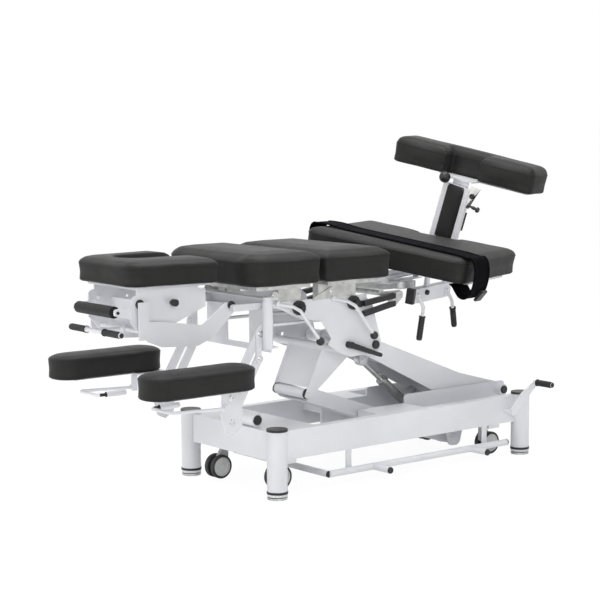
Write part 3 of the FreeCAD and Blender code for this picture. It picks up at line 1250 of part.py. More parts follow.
def make_head_fittings():
    """The chin roller, the T-handle under it and the pull pin that locks the tray."""
    sleeve = bar("roller_sleeve", s.roller_radius, s.roller_half * 2, s.roller_x, 0, s.roller_z,
                 "Y", True)
    pin = bar("roller_pin", s.roller_pin, (s.cheek_y + s.plate_wall) * 2 - s.plate_wall,
              s.roller_x, 0, s.roller_z, "Y", True)
    node("chin_roller", fuse("chin_roller", sleeve, pin))
    low_z = s.handle_z
    cross = bar("handle_cross", s.handle_rod_radius, s.handle_half * 2, s.roller_x - s.overrun / 4,
                0, low_z, "Y", True)
    grips = [bar(f"handle_grip_{number}", s.handle_grip_radius, s.handle_grip,
                 s.roller_x - s.overrun / 4, side * (s.handle_half - s.handle_grip / 2), low_z,
                 "Y", True)
             for number, side in enumerate((-1, 1))]
    hub_x = handle_hub_x()
    neck = bar("handle_neck", s.handle_rod_radius, hub_x - s.roller_x + s.overrun / 4,
               s.roller_x - s.overrun / 4, 0, low_z, "X")
    hub = bar("handle_hub", s.frame_tube_radius, s.handle_grip / 2, hub_x, 0, low_z, "Y", True)
    bore = bar("handle_bore", s.pin_radius + s.running_gap, s.handle_grip, hub_x, 0, low_z,
               "Y", True)
    solid = fuse("head_handle_solid", cross, *grips, neck, hub)
    node("head_handle", cut("head_handle", solid, bore))
    y = -s.cheek_y - s.plate_wall / 2
    shaft = bar("pull_pin_shaft", s.roller_pin, s.pull_pin_reach + s.plate_wall * 2,
                s.pull_pin_x, y - s.pull_pin_reach, s.pull_pin_z, "Y")
    knob = bar("pull_pin_knob", s.pull_knob_radius, s.pull_pin_reach / 2,
               s.pull_pin_x, y - s.pull_pin_reach, s.pull_pin_z, "Y")
    node("pull_pin", fuse("pull_pin", shaft, knob))


# Armrests

BRACKET_SHARES = [
    (0.05, 0.7), (0.0, 0.45), (0.2, 0.08), (0.55, 0.0), (0.95, 0.12), (1.0, 0.4), (0.75, 1.0),
    (0.3, 1.0),
]


def make_armrest(name, side):
    """One armrest: its swivel, the two bars of its parallelogram, bracket, pad and lever."""
    low = s.arm_swivel_low
    height = s.arm_swivel_top - low
    post = bar(f"{name}_swivel_post", s.arm_swivel_radius, height, s.arm_swivel_x,
               side * s.arm_swivel_y, low)
    pin_reach = s.plate_wall + s.seat_gap
    pin = bar(f"{name}_swivel_pin", s.pin_radius, height + pin_reach * 2, s.arm_swivel_x,
              side * s.arm_swivel_y, low - pin_reach)
    knob = bar(f"{name}_swivel_knob", s.arm_knob_radius, s.plate_wall, s.arm_swivel_x,
               side * s.arm_swivel_y, s.arm_swivel_top + s.seat_gap + s.plate_wall)
    shank = bar(f"{name}_knob_shank", s.pin_radius, s.plate_wall * 2 + s.seat_gap,
                s.arm_swivel_x, side * s.arm_swivel_y, s.arm_swivel_top)
    web_y = s.arm_bar_y + s.arm_bar_wall + s.seat_gap
    low_x, low_z = s.arm_upper_x, s.arm_upper_z - s.arm_bar_pitch
    half = s.arm_bar_wide / 2
    web_points = [
        (s.arm_upper_x - half, low_z - half), (s.arm_swivel_x - s.pin_radius * 2, low_z - half),
        (s.arm_swivel_x - s.pin_radius * 2, low + s.washer_wall),
        (s.arm_swivel_x, low + s.washer_wall),
        (s.arm_swivel_x, s.arm_upper_z + half * 3), (s.arm_upper_x - half, s.arm_upper_z + half),
    ]
    web = plate(f"{name}_swivel_web", "XZ_Plane", web_points, s.arm_bar_wall, (),
                [(half * 0.9, (0, 5))], y=side * web_y)
    pins = [bar(f"{name}_pin_{level}", s.arm_pin_radius, s.arm_bar_wall * 2,
                low_x, side * (s.arm_bar_y + s.seat_gap), z, "Y", True)
            for level, z in enumerate((s.arm_upper_z, low_z))]
    node(f"{name}_swivel", fuse(f"{name}_swivel", post, pin, knob, shank, web, *pins))
    end_x = s.arm_upper_x - s.arm_bar_run
    for label, z in (("upper_bar", s.arm_upper_z), ("lower_bar", low_z)):
        node(f"{name}_{label}", rest_bar(f"{name}_{label}", side, z))
    node(f"{name}_bracket", rest_bracket(f"{name}_bracket", side, end_x))
    make_rest_pad(name, side)
    make_rest_lever(name, side)


def rest_bar(name, side, z):
    """One flat bar of an armrest's parallelogram, round at both ends."""
    half = s.arm_bar_wide / 2
    lean = math.degrees(math.atan2(float(s.arm_bar_fall), float(s.arm_bar_run)))
    length = Size(math.hypot(float(s.arm_bar_run), float(s.arm_bar_fall)),
                  "sqrt(Sizes.arm_bar_run * Sizes.arm_bar_run"
                  " + Sizes.arm_bar_fall * Sizes.arm_bar_fall)")
    points = [(-half, -half), (length + half, -half), (length + half, half), (-half, half)]
    hole = s.arm_pin_radius + s.running_gap
    strip = plate(name + "_strip", "XZ_Plane", points, s.arm_bar_wall,
                  [(0, 0, hole), (length, 0, hole)], [(half * 0.96, (0, 1, 2, 3))])
    strip.Placement = moved(s.arm_upper_x, side * s.arm_bar_y, z,
                            FreeCAD.Rotation(ABOUT_Y, 180 - lean))
    return strip


def rest_bracket(name, side, end_x):
    """The bracket that an armrest's two bars carry, with the plate under its pad."""
    outer_y = side * (s.arm_bar_y + s.arm_bar_wall / 2 + s.bracket_wall / 2 + s.seat_gap)
    plate_low = s.pad_bottom - s.seat_gap - s.plate_wall
    height = plate_low + s.plate_wall - s.bracket_low_z
    width = s.bracket_foot_x - s.bracket_head_x
    points = scaled(width, height, BRACKET_SHARES, s.bracket_head_x, s.bracket_low_z)
    corners = [(width * 0.2, (1, 2, 4)), (width * 0.1, (5,))]
    wall = plate(name + "_plate", "XZ_Plane", points, s.bracket_wall, (), corners, y=outer_y)
    pin_length = s.arm_bar_wall + s.bracket_wall + s.seat_gap
    pins = [bar(f"{name}_pin_{level}", s.arm_pin_radius, pin_length, end_x,
                side * (s.arm_bar_y - s.arm_bar_wall / 2 - s.seat_gap + pin_length / 2),
                s.arm_upper_z - s.arm_bar_fall - drop, "Y", True)
            for level, drop in enumerate((0, s.arm_bar_pitch))]
    top = block(name + "_top", s.pad_foot_x - s.pad_head_x - s.pad_half_width * 2,
                s.pad_half_width, s.plate_wall, (s.pad_head_x + s.pad_foot_x) / 2,
                side * s.pad_y, plate_low, "xy")
    inner = s.arm_bar_y + s.arm_bar_wall / 2 + s.seat_gap
    tie_width = s.pad_y - inner
    tie_start = s.bracket_head_x - s.arm_bar_wide * 2
    tie = block(name + "_tie", end_x + s.arm_bar_wide / 2 - tie_start, tie_width, s.plate_wall,
                tie_start, side * (inner + tie_width / 2), plate_low)
    lug_y = s.rest_lever_y - s.rest_lever_radius * 1.3 - s.seat_gap - s.bracket_wall / 2
    lug_x = lever_hub_x()
    lug = block(name + "_lug", s.rest_lever_radius * 4, s.bracket_wall,
                plate_low - s.rest_lever_z + s.rest_lever_radius * 2, lug_x, side * lug_y,
                s.rest_lever_z - s.rest_lever_radius * 2, "xy")
    lug_pin_length = s.bracket_wall + s.rest_lever_radius * 3
    lug_pin = bar(name + "_lug_pin", s.rest_lever_radius * 0.8, lug_pin_length, lug_x,
                  side * (lug_y - s.bracket_wall / 2 + lug_pin_length / 2), s.rest_lever_z,
                  "Y", True)
    return fuse(name, wall, *pins, top, tie, lug, lug_pin)


def lever_hub_x():
    """Where an armrest's release lever turns."""
    return s.bracket_head_x - s.arm_bar_wide


def make_rest_pad(name, side):
    """An armrest's stadium-shaped pad."""
    half = s.pad_half_width
    round_end = half * 0.96
    low_y, high_y = side * s.pad_y - half, side * s.pad_y + half
    corners = [(s.pad_head_x, low_y, round_end), (s.pad_foot_x, low_y, round_end),
               (s.pad_foot_x, high_y, round_end), (s.pad_head_x, high_y, round_end)]
    node(f"{name}_cushion", cushion(f"{name}_cushion", corners, s.pad_bottom, s.pad_seam,
                                    s.pad_crown, s.section_draw * 0.7, half * 0.8))


def make_rest_lever(name, side):
    """The bent release rod under an armrest, with its hub and its grip."""
    y = side * s.rest_lever_y
    turn_y = y - side * s.rest_lever_turn
    top_z = s.rest_lever_z + s.rest_grip_radius
    radius = s.rest_lever_radius
    hub_radius = radius * 2
    start_x = lever_hub_x()
    points = [
        (start_x - hub_radius * 0.8, y, s.rest_lever_z), (s.rest_lever_head_x, y, top_z),
        (s.rest_lever_head_x, turn_y, top_z),
        (s.rest_lever_head_x + s.rest_grip_length * 0.5, turn_y, top_z),
    ]
    rod = bent_rod(f"{name}_lever_rod", points, radius, radius * 3)
    grip = bar(f"{name}_lever_grip", s.rest_grip_radius, s.rest_grip_length * 0.7,
               s.rest_lever_head_x + s.rest_grip_length * 0.3, turn_y, top_z, "X")
    hub = ring(f"{name}_lever_hub", hub_radius, radius * 0.8 + s.running_gap, radius * 2.6,
               start_x, y, s.rest_lever_z, "Y", True)
    node(f"{name}_lever", fuse(f"{name}_lever", rod, grip, hub))


# Leg section

YAW = FreeCAD.Rotation(ABOUT_Z, float(s.leg_yaw))
ROLL = FreeCAD.Rotation(ABOUT_X, float(s.leg_roll))
PAD_HEAD = YAW.multVec(vector(-s.leg_pad_offset, 0, 0)) + vector(s.yaw_x, 0, 0)
LEG = BASE.multiply(moved(PAD_HEAD.x, PAD_HEAD.y, s.leg_seam_z, YAW.multiply(ROLL)))
SWING = BASE.multiply(moved(s.yaw_x, 0, 0, YAW))
ROLL_SIDE = s.roll_drop * math.tan(math.radians(float(s.leg_roll)))
ROLL_Z = (s.leg_seam_z - s.roll_drop * math.cos(math.radians(float(s.leg_roll)))
          - ROLL_SIDE * math.sin(math.radians(float(s.leg_roll))))


def make_leg_section():
    make_leg_hinge()
    make_leg_swing()
    make_leg_frame()
    make_leg_cushion()
    make_squeeze_handles()
    make_strap()


def make_leg_hinge():
    """The yoke that tips the leg section down, with the arm that carries its turntable."""
    top = s.yoke_z + s.yoke_height
    tube_z = s.yoke_z + s.yoke_tube_radius
    cross = bar("yoke_tube", s.yoke_tube_radius, s.yoke_half * 2, s.yoke_x, 0, tube_z, "Y", True)
    sides = []
    for number, side in enumerate((-1, 1)):
        length = s.flex_x + s.cap_radius - s.yoke_x
        sides.append(block(f"yoke_side_{number}", length, s.plate_wall, s.yoke_height, s.yoke_x,
                           side * (s.yoke_half - s.plate_wall / 2), s.flex_z - s.yoke_height / 2))
        pin_length = s.frame_half_width + s.plate_wall - s.yoke_half + s.plate_wall
        sides.append(bar(f"yoke_pin_{number}", s.pin_radius, pin_length, s.flex_x,
                         side * (s.yoke_half - s.plate_wall / 2 + pin_length / 2), s.flex_z, "Y", True))
    arm_length = s.yaw_x + s.swing_hub_radius - s.yoke_x
    arm = block("yoke_arm", arm_length, s.yoke_arm_half * 2, s.yoke_height, s.yoke_x, 0, s.yoke_z)
    seat = bar("yoke_seat", s.swing_hub_radius, s.yoke_height, s.yaw_x, 0, s.yoke_z)
    bore = bar("yoke_bore", s.swing_pin_radius + s.running_gap, top - s.yoke_z + s.overrun * 2,
               s.yaw_x, 0, s.yoke_z - s.overrun)
    node("leg_hinge", cut("leg_hinge", fuse("yoke_weldment", cross, *sides, arm, seat), bore))


def make_leg_swing():
    """The turntable that swings the leg section sideways, with lugs for its rolling axis."""
    top = s.yoke_z + s.yoke_height + s.seat_gap
    hub = bar("swing_hub", s.swing_hub_radius * 0.9, s.swing_plate_wall, 0, 0, top)
    pin = bar("swing_pin", s.swing_pin_radius, s.yoke_height + s.plate_wall + s.seat_gap, 0, 0,
              s.yoke_z - s.plate_wall)
    cap = bar("swing_cap", s.swing_pin_radius * 1.6, s.plate_wall, 0, 0,
              s.yoke_z - s.plate_wall - s.seat_gap)
    base = block("swing_base", s.swing_plate_length * 2, s.swing_plate_half, s.swing_plate_wall / 2,
                 0, 0, top, "xy")
    lugs = []
    for number, side in enumerate((-1, 1)):
        lug_x = side * (s.swing_plate_length - s.plate_wall)
        lugs.append(block(f"swing_lug_{number}", s.plate_wall * 2, s.roll_tube_radius * 2,
                          ROLL_Z + s.roll_tube_radius - top, lug_x, 0, top, "xy"))
        lugs.append(bar(f"swing_roll_pin_{number}", s.roll_pin_radius, s.plate_wall * 4,
                        lug_x - side * s.plate_wall, 0, ROLL_Z, "X", True))
    node("leg_swing", fuse("leg_swing", hub, pin, cap, base, *lugs), SWING)


def make_leg_frame():
    """The leg cushion's board and ribs, the rolling tube and the two slide tubes."""
    n_board = -s.leg_pad_thick - s.seat_gap - s.leg_board
    inset = s.leg_board_inset
    length = s.leg_pad_length - s.notch_depth - inset - s.leg_board_head
    board = block("leg_board", length, (s.leg_pad_half - inset) * 2, s.leg_board,
                  s.leg_board_head, 0, n_board)
    pivot = s.leg_pad_offset
    tube_half = s.swing_plate_length - s.plate_wall * 2 - s.seat_gap
    y_axis = -ROLL_SIDE
    tube = ring("roll_tube", s.roll_tube_radius, s.roll_pin_radius + s.running_gap, tube_half * 2,
                pivot, y_axis, -s.roll_drop, "X", True)
    rib = block("roll_rib", tube_half * 1.8, s.plate_wall, s.roll_drop + n_board - s.roll_tube_radius * 0.9,
                pivot, y_axis, -s.roll_drop + s.roll_tube_radius * 0.9, "xy")
    parts = [board, tube, rib]
    for number, side in enumerate((-1, 1)):
        parts.append(slide_tube(f"slide_tube_{number}", side))
        for spot, x in enumerate((s.leg_board_head + s.slide_tube_width,
                                  s.slide_tube_end - s.leg_board_inset)):
            parts.append(block(f"tube_bracket_{number}_{spot}", s.slide_tube_width, s.plate_wall * 2,
                               n_board + s.slide_tube_drop, x, side * s.slide_tube_y,
                               -s.slide_tube_drop, "xy"))
    guide_half = s.slide_beam_half + s.running_gap * 4
    guide_low = n_board - s.slide_beam_height - s.seat_gap * 2
    for number, side in enumerate((-1, 1)):
        y = s.post_y + side * (guide_half + s.plate_wall / 2)
        parts.append(block(f"slide_guide_{number}", s.slide_tube_height * 2, s.plate_wall,
                           s.slide_beam_height + s.seat_gap * 2 + s.plate_wall,
                           s.leg_pad_length - s.notch_depth - s.leg_board_inset - s.slide_tube_height,
                           y, guide_low - s.plate_wall, "xy"))
    parts.append(block("slide_guide_floor", s.slide_tube_height * 2, guide_half * 2, s.plate_wall,
                       s.leg_pad_length - s.notch_depth - s.leg_board_inset - s.slide_tube_height,
                       s.post_y, guide_low - s.plate_wall, "xy"))
    node("leg_frame", fuse("leg_frame", *parts), LEG)


def slide_tube(name, side):
    """A rectangular tube along the leg section, closed at its ends by a plug."""
    length = s.slide_tube_end - s.slide_tube_start
    low = -s.slide_tube_drop - s.slide_tube_height
    outside = block(name + "_outside", length, s.slide_tube_width, s.slide_tube_height,
                    s.slide_tube_start, side * s.slide_tube_y, low)
    wall = s.sheet_wall
    inside = block(name + "_inside", length, s.slide_tube_width - wall * 2,
                   s.slide_tube_height - wall * 2, s.slide_tube_start + wall,
                   side * s.slide_tube_y, low + wall)
    return cut(name, outside, inside)


def notched_outline(length, half, notch_depth, notch_half, notch_middle, corner, notch_end):
    """A rectangle's corners with a notch in one of its long ways' ends."""
    tight = corner / 4
    if notch_end == "high":
        return [
            (0.0, -half, corner), (length, -half, corner),
            (length, notch_middle - notch_half, tight),
            (length - notch_depth, notch_middle - notch_half, tight),
            (length - notch_depth, notch_middle + notch_half, tight),
            (length, notch_middle + notch_half, tight), (length, half, corner),
            (0.0, half, corner),
        ]
    return [
        (0.0, -half, corner), (length, -half, corner), (length, half, corner),
        (0.0, half, corner), (0.0, notch_middle + notch_half, tight),
        (notch_depth, notch_middle + notch_half, tight),
        (notch_depth, notch_middle - notch_half, tight),
        (0.0, notch_middle - notch_half, tight),
    ]


def make_leg_cushion():
    """The leg section's broad cushion, notched at the foot end for the ankle post."""
    corners = notched_outline(s.leg_pad_length, s.leg_pad_half, s.notch_depth, s.notch_half,
                              s.notch_side, s.leg_pad_round, "high")
    pad = cushion("leg_cushion", corners, -s.leg_pad_thick, 0, s.leg_pad_crown, s.section_draw,
                  s.leg_pad_round * 0.9)
    node("leg_cushion", pad, LEG)


def make_squeeze_handles():
    """The two release handles that hang from the near slide tube."""
    y = -s.squeeze_y
    for label, top_v, bottom_v, drop in (
            ("leg_handle_head", s.first_handle_v, s.first_handle_v, s.first_handle_drop),
            ("leg_handle_foot", s.second_handle_v, s.second_handle_v + s.second_handle_reach,
             s.second_handle_drop)):
        top_n = -s.handle_top_drop
        start = (top_v, -s.slide_tube_y - s.slide_tube_width / 2 - s.handle_rod - s.seat_gap,
                 -s.slide_tube_drop - s.slide_tube_height / 2)
        points = [start, (top_v, y, top_n), (bottom_v, y, -drop)]
        rod = bent_rod(label + "_rod", points, s.handle_rod, s.handle_rod * 2)
        hub = bar(label + "_hub", s.handle_rod * 1.8, s.handle_rod * 2, start[0], start[1],
                  start[2], "Y", True)
        along = (vector(*points[2]) - vector(*points[1])).normalize()
        grip_start = vector(*points[2]) - along * float(s.squeeze_grip)
        grip = bar(label + "_grip", s.squeeze_grip_radius, s.squeeze_grip)
        grip.Placement = FreeCAD.Placement(grip_start, FreeCAD.Rotation(ABOUT_Z, along))
        node(label, fuse(label, rod, hub, grip), LEG)


def make_strap():
    """The strap across the leg cushion, its ends hanging at both sides."""
    top = s.leg_pad_crown + s.seat_gap
    half = s.leg_pad_half + s.strap_clear
    wall = s.strap_wall
    edge = s.leg_pad_round / 8
    near, far = s.strap_near_tail, s.strap_far_tail
    outline = [
        (-half, -near), (-half, 0), (-half + edge, top), (half - edge, top), (half, 0),
        (half, -far), (half + wall, -far), (half + wall, 0), (half - edge, top + wall),
        (-half + edge, top + wall), (-half - wall, 0), (-half - wall, -near),
    ]
    band = plate("strap_band", "YZ_Plane", outline, s.strap_width)
    turn = FreeCAD.Rotation(ABOUT_Z, float(s.strap_turn))
    node("leg_strap", band, LEG.multiply(moved(s.strap_v, 0, 0, turn)))


# Ankle section

def make_ankle():
    """The post at the foot end with its pad, and the top cushion on its plates."""
    lean = FreeCAD.Rotation(ABOUT_X, float(s.post_lean))
    post = moved(s.post_v, s.post_y, 0, lean)
    parts = []
    for number, side in enumerate((-1, 1)):
        rail_y = side * (s.post_half - s.post_rail_width / 2)
        parts.append(block(f"post_rail_{number}", s.post_rail_depth, s.post_rail_width,
                           s.post_top - s.post_low, 0, rail_y, s.post_low, "xy"))
    for number, z in enumerate((s.post_low, s.post_top - s.post_rail_width)):
        parts.append(block(f"post_cross_{number}", s.post_rail_depth, s.post_half * 2,
                           s.post_rail_width, 0, 0, z, "xy"))
    pad_height = s.post_pad_top - s.post_pad_low
    parts.append(block("post_pad", s.post_pad_wall, s.post_pad_half * 2, pad_height, 0, 0,
                       s.post_pad_low, "xy"))
    upright_part = fuse("post_upright", *parts)
    upright_part.Placement = post
    beam_top = -s.leg_pad_thick - s.leg_board - s.seat_gap * 2
    beam = block("post_beam", s.slide_beam_length, s.slide_beam_half * 2, s.slide_beam_height,
                 s.post_v - s.slide_beam_length, s.post_y, beam_top - s.slide_beam_height)
    node("ankle_post", fuse("ankle_post", upright_part, beam), LEG)
    top_local = moved(s.top_v, 0, 0, FreeCAD.Rotation(ABOUT_X, float(s.top_roll)))
    top_frame = LEG.multiply(top_local)
    corners = notched_outline(s.top_depth, s.top_half, s.top_notch_depth, s.top_notch_half,
                              0.0, s.top_corner, "low")
    pad = cushion("ankle_cushion", corners, s.top_bottom, s.top_seam, s.top_crown,
                  s.section_draw * 0.6, s.top_corner)
    node("ankle_cushion", pad, top_frame)
    plate_low = s.top_bottom - s.seat_gap - s.top_plate_wall
    wall_middle = s.top_plate_wall / 2
    span = s.top_plate_far - s.top_plate_head
    flat = block("ankle_plate", s.top_plate_width, span, s.top_plate_wall,
                 s.top_depth * 0.3, s.top_plate_head + span / 2, plate_low)
    seat = block("ankle_seat", s.top_plate_width * 2, s.post_half * 2, s.top_plate_wall,
                 -s.post_rail_depth, s.seat_side, plate_low)
    stem = block("ankle_stem", s.stem_wall, s.stem_half * 2, plate_low + wall_middle - s.stem_low,
                 s.post_pad_wall / 2 + s.seat_gap + s.stem_wall / 2, 0, s.stem_low, "xy")
    stem.Placement = top_local.inverse().multiply(post).multiply(stem.Placement)
    node("ankle_bracket", fuse("ankle_bracket", flat, seat, stem), top_frame)
    knob_z = plate_low + wall_middle
    knob = ball("ankle_ball", s.knob_radius, s.knob_x, s.knob_y, knob_z)
    shank = bar("ankle_shank", s.handle_rod / 2, -s.post_rail_depth - s.seat_gap - s.knob_x,
                s.knob_x, s.knob_y, knob_z, "X")
    node("ankle_knob", fuse("ankle_knob", knob, shank), top_frame)


def build():
    make_base()
    make_foot_bar()
    make_castors()
    make_lift()
    make_upper_frame()
    make_sections()
    make_clamp_lever()
    make_head()
    make_armrest("near_rest", -1)
    make_armrest("far_rest", 1)
    make_leg_section()
    make_ankle()


build()
doc.recompute()
for thing in doc.Objects:
    if "Invalid" in thing.State or "Error" in thing.State:
        raise RuntimeError(f"{thing.Name} failed: {thing.State}")
os.makedirs("parts", exist_ok=True)
for thing in NODES:
    shape = thing.Shape
    if shape.isNull() or not shape.isValid():
        raise RuntimeError(f"{thing.Label} is not a valid shape")
    shape.exportStep(f"parts/{thing.Label}.step")
    print(f"{thing.Label}: {len(shape.Solids)} solids, {shape.Volume / 1000:.0f} cm3")
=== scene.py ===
import bpy
import bmesh
import json
import math
from mathutils import Matrix, Vector
from mathutils.bvhtree import BVHTree


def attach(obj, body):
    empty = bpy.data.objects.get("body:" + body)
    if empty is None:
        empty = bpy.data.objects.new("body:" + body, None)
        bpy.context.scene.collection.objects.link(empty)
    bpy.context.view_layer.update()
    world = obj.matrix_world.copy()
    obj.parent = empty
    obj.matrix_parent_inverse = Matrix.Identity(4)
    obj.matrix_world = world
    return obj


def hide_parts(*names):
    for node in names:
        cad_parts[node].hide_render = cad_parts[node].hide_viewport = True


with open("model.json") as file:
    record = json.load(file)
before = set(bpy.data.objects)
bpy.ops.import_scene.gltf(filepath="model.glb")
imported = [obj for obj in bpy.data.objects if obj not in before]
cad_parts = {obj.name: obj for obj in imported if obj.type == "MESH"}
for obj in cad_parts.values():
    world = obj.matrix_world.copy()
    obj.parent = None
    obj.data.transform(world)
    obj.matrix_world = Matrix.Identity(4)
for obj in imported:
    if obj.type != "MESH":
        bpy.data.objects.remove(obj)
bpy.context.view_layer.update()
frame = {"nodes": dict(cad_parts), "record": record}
NODES = frame["nodes"]
SCENE = bpy.context.scene

# Places are in millimetres from the middle of the base's legs, as in the part's source.
BASE_X, BASE_Y = 0.15196, -0.03092
MM = 0.001


def at(x, y, z):
    """A place in the row frame, in metres."""
    return Vector((BASE_X + x * MM, BASE_Y + y * MM, z * MM))


def turn(degrees, axis):
    return Matrix.Rotation(math.radians(degrees), 4, axis)


# The leg section's cushion is swung about its pivot and rolled; the ankle cushion and its post
# stand at the cushion's foot end. Each of the three has a frame of its own.
ROW = Matrix.Translation((BASE_X, BASE_Y, 0.0))
SWING_X, PAD_OFFSET, PAD_LEVEL = 212, 163, 870
LEG_YAW, LEG_ROLL, TOP_ROLL, POST_LEAN = 21.6, 8.6, 3.5, 8.2
TOP_ALONG = (0.602, 0, 0)
POST_ALONG = (0.582, 0.0055, 0)
yaw = math.radians(LEG_YAW)
LEG = (Matrix.Translation(at(SWING_X - PAD_OFFSET * math.cos(yaw), -PAD_OFFSET * math.sin(yaw), PAD_LEVEL))
       @ turn(LEG_YAW, "Z") @ turn(LEG_ROLL, "X"))
TOP = LEG @ Matrix.Translation(TOP_ALONG) @ turn(TOP_ROLL, "X")
POST = LEG @ Matrix.Translation(POST_ALONG) @ turn(POST_LEAN, "X")


def in_leg(x, y, z):
    """A place in the leg cushion's frame, given in millimetres, as one of the row frame in metres."""
    return LEG @ (Vector((x, y, z)) * MM)


def in_post(x, y, z):
    """The same for the ankle post's frame."""
    return POST @ (Vector((x, y, z)) * MM)


# Materials

def shader(name, colour, roughness, metallic=0.0):
    """A new material with its principled shader set."""
    material = bpy.data.materials.new(name)
    material.use_nodes = True
    tree = material.node_tree
    main = tree.nodes["Principled BSDF"]
    main.inputs["Base Color"].default_value = (*colour, 1.0)
    main.inputs["Roughness"].default_value = roughness
    main.inputs["Metallic"].default_value = metallic
    return material, tree, main


def add(tree, kind, operation=None, **values):
    """A new node, with its operation and its inputs' values, spaces written as underscores."""
    node = tree.nodes.new(kind)
    if operation:
        node.operation = operation
    for key, value in values.items():
        node.inputs[key.replace("_", " ")].default_value = value
    return node


def noise(tree, scale, detail=4.0, rough=0.5, stretch=(1, 1, 1)):
    """The value of a noise on the object's own coordinates."""
    place = add(tree, "ShaderNodeTexCoord")
    mapping = add(tree, "ShaderNodeMapping", Scale=stretch)
    tree.links.new(place.outputs["Object"], mapping.inputs["Vector"])
    texture = add(tree, "ShaderNodeTexNoise", Scale=scale, Detail=detail, Roughness=rough)
    tree.links.new(mapping.outputs["Vector"], texture.inputs["Vector"])
    return texture.outputs["Fac"]


def ramp_colour(tree, main, factor, low, high, start=0.3, end=0.7):
    """Colour that runs from low to high with a texture's value."""
    ramp = add(tree, "ShaderNodeValToRGB")
    ramp.color_ramp.elements[0].position = start
    ramp.color_ramp.elements[1].position = end
    ramp.color_ramp.elements[0].color = (*low, 1)
    ramp.color_ramp.elements[1].color = (*high, 1)
    tree.links.new(factor, ramp.inputs["Fac"])
    tree.links.new(ramp.outputs["Color"], main.inputs["Base Color"])


def ramp_rough(tree, main, factor, low, high):
    """Roughness that runs from low to high with a texture's value."""
    span = add(tree, "ShaderNodeMapRange", To_Min=low, To_Max=high)
    tree.links.new(factor, span.inputs["Value"])
    tree.links.new(span.outputs["Result"], main.inputs["Roughness"])


def bump(tree, main, height, strength, distance):
    """A bump on top of whatever bump the shader already has."""
    relief = add(tree, "ShaderNodeBump", Strength=strength, Distance=distance)
    tree.links.new(height, relief.inputs["Height"])
    if main.inputs["Normal"].is_linked:
        before = main.inputs["Normal"].links[0].from_socket
        tree.links.new(before, relief.inputs["Normal"])
    tree.links.new(relief.outputs["Normal"], main.inputs["Normal"])


def vinyl_material(name, dark, light):
    """Grained upholstery vinyl: pebble grain, fine pores, soft folds and a dull sheen."""
    material, tree, main = shader(name, dark, 0.5)
    ramp_colour(tree, main, noise(tree, scale=9, detail=5, rough=0.6), dark, light)
    ramp_rough(tree, main, noise(tree, scale=30, detail=3), low=0.42, high=0.58)
    cells = add(tree, "ShaderNodeTexVoronoi", Scale=620)
    place = add(tree, "ShaderNodeTexCoord")
    tree.links.new(place.outputs["Object"], cells.inputs["Vector"])
    bump(tree, main, noise(tree, scale=11, detail=3), strength=0.25, distance=0.004)
    bump(tree, main, cells.outputs["Distance"], strength=0.35, distance=0.0004)
    main.inputs["Specular IOR Level"].default_value = 0.2
    main.inputs["Sheen Weight"].default_value = 0.05
    main.inputs["Sheen Roughness"].default_value = 0.5
    return material


COAT_ROUGH = 0.32


def coat_material(name, low, high):
    """Powder coat: fine orange peel and slight unevenness of tone."""
    material, tree, main = shader(name, high, COAT_ROUGH)
    ramp_colour(tree, main, noise(tree, scale=4), low, high)
    ramp_rough(tree, main, noise(tree, scale=18, detail=3), COAT_ROUGH - 0.05, COAT_ROUGH + 0.08)
    bump(tree, main, noise(tree, scale=700, detail=2), strength=0.12, distance=0.0004)
    return material


def plastic_material(name, low, high, rough=0.42):
    """Moulded plastic or rubber with a fine spark texture."""
    material, tree, main = shader(name, high, rough)
    ramp_colour(tree, main, noise(tree, scale=25), low, high)
    ramp_rough(tree, main, noise(tree, scale=60, detail=3), rough - 0.08, rough + 0.1)
    bump(tree, main, noise(tree, scale=1100, detail=2), strength=0.2, distance=0.0003)
    return material


def metal_material(name, low, high, rough):
    """Plated or bare steel with fine streaks along Z."""
    material, tree, main = shader(name, high, rough, metallic=1.0)
    ramp_colour(tree, main, noise(tree, scale=35), low, high)
    streak = noise(tree, scale=160, detail=3, rough=0.6, stretch=(1, 1, 12))
    ramp_rough(tree, main, streak, rough - 0.08, rough + 0.16)
    bump(tree, main, streak, strength=0.12, distance=0.0003)
    return material


def webbing_material(name, low, high):
    """Woven nylon: crossed ribs with a little fuzz."""
    material, tree, main = shader(name, high, 0.75)
    place = add(tree, "ShaderNodeTexCoord")
    waves = []
    for direction in ("X", "Y"):
        wave = add(tree, "ShaderNodeTexWave", Scale=170, Distortion=0.6)
        wave.bands_direction = direction
        tree.links.new(place.outputs["UV"], wave.inputs["Vector"])
        waves.append(wave)
    mix = add(tree, "ShaderNodeMath", "MULTIPLY")
    for number, wave in enumerate(waves):
        tree.links.new(wave.outputs["Fac"], mix.inputs[number])
    ramp_colour(tree, main, mix.outputs["Value"], low, high, start=0.0, end=1.0)
    bump(tree, main, mix.outputs["Value"], strength=0.6, distance=0.0008)
    bump(tree, main, noise(tree, scale=300, detail=3), strength=0.3, distance=0.0005)
    main.inputs["Specular IOR Level"].default_value = 0.04
    return material


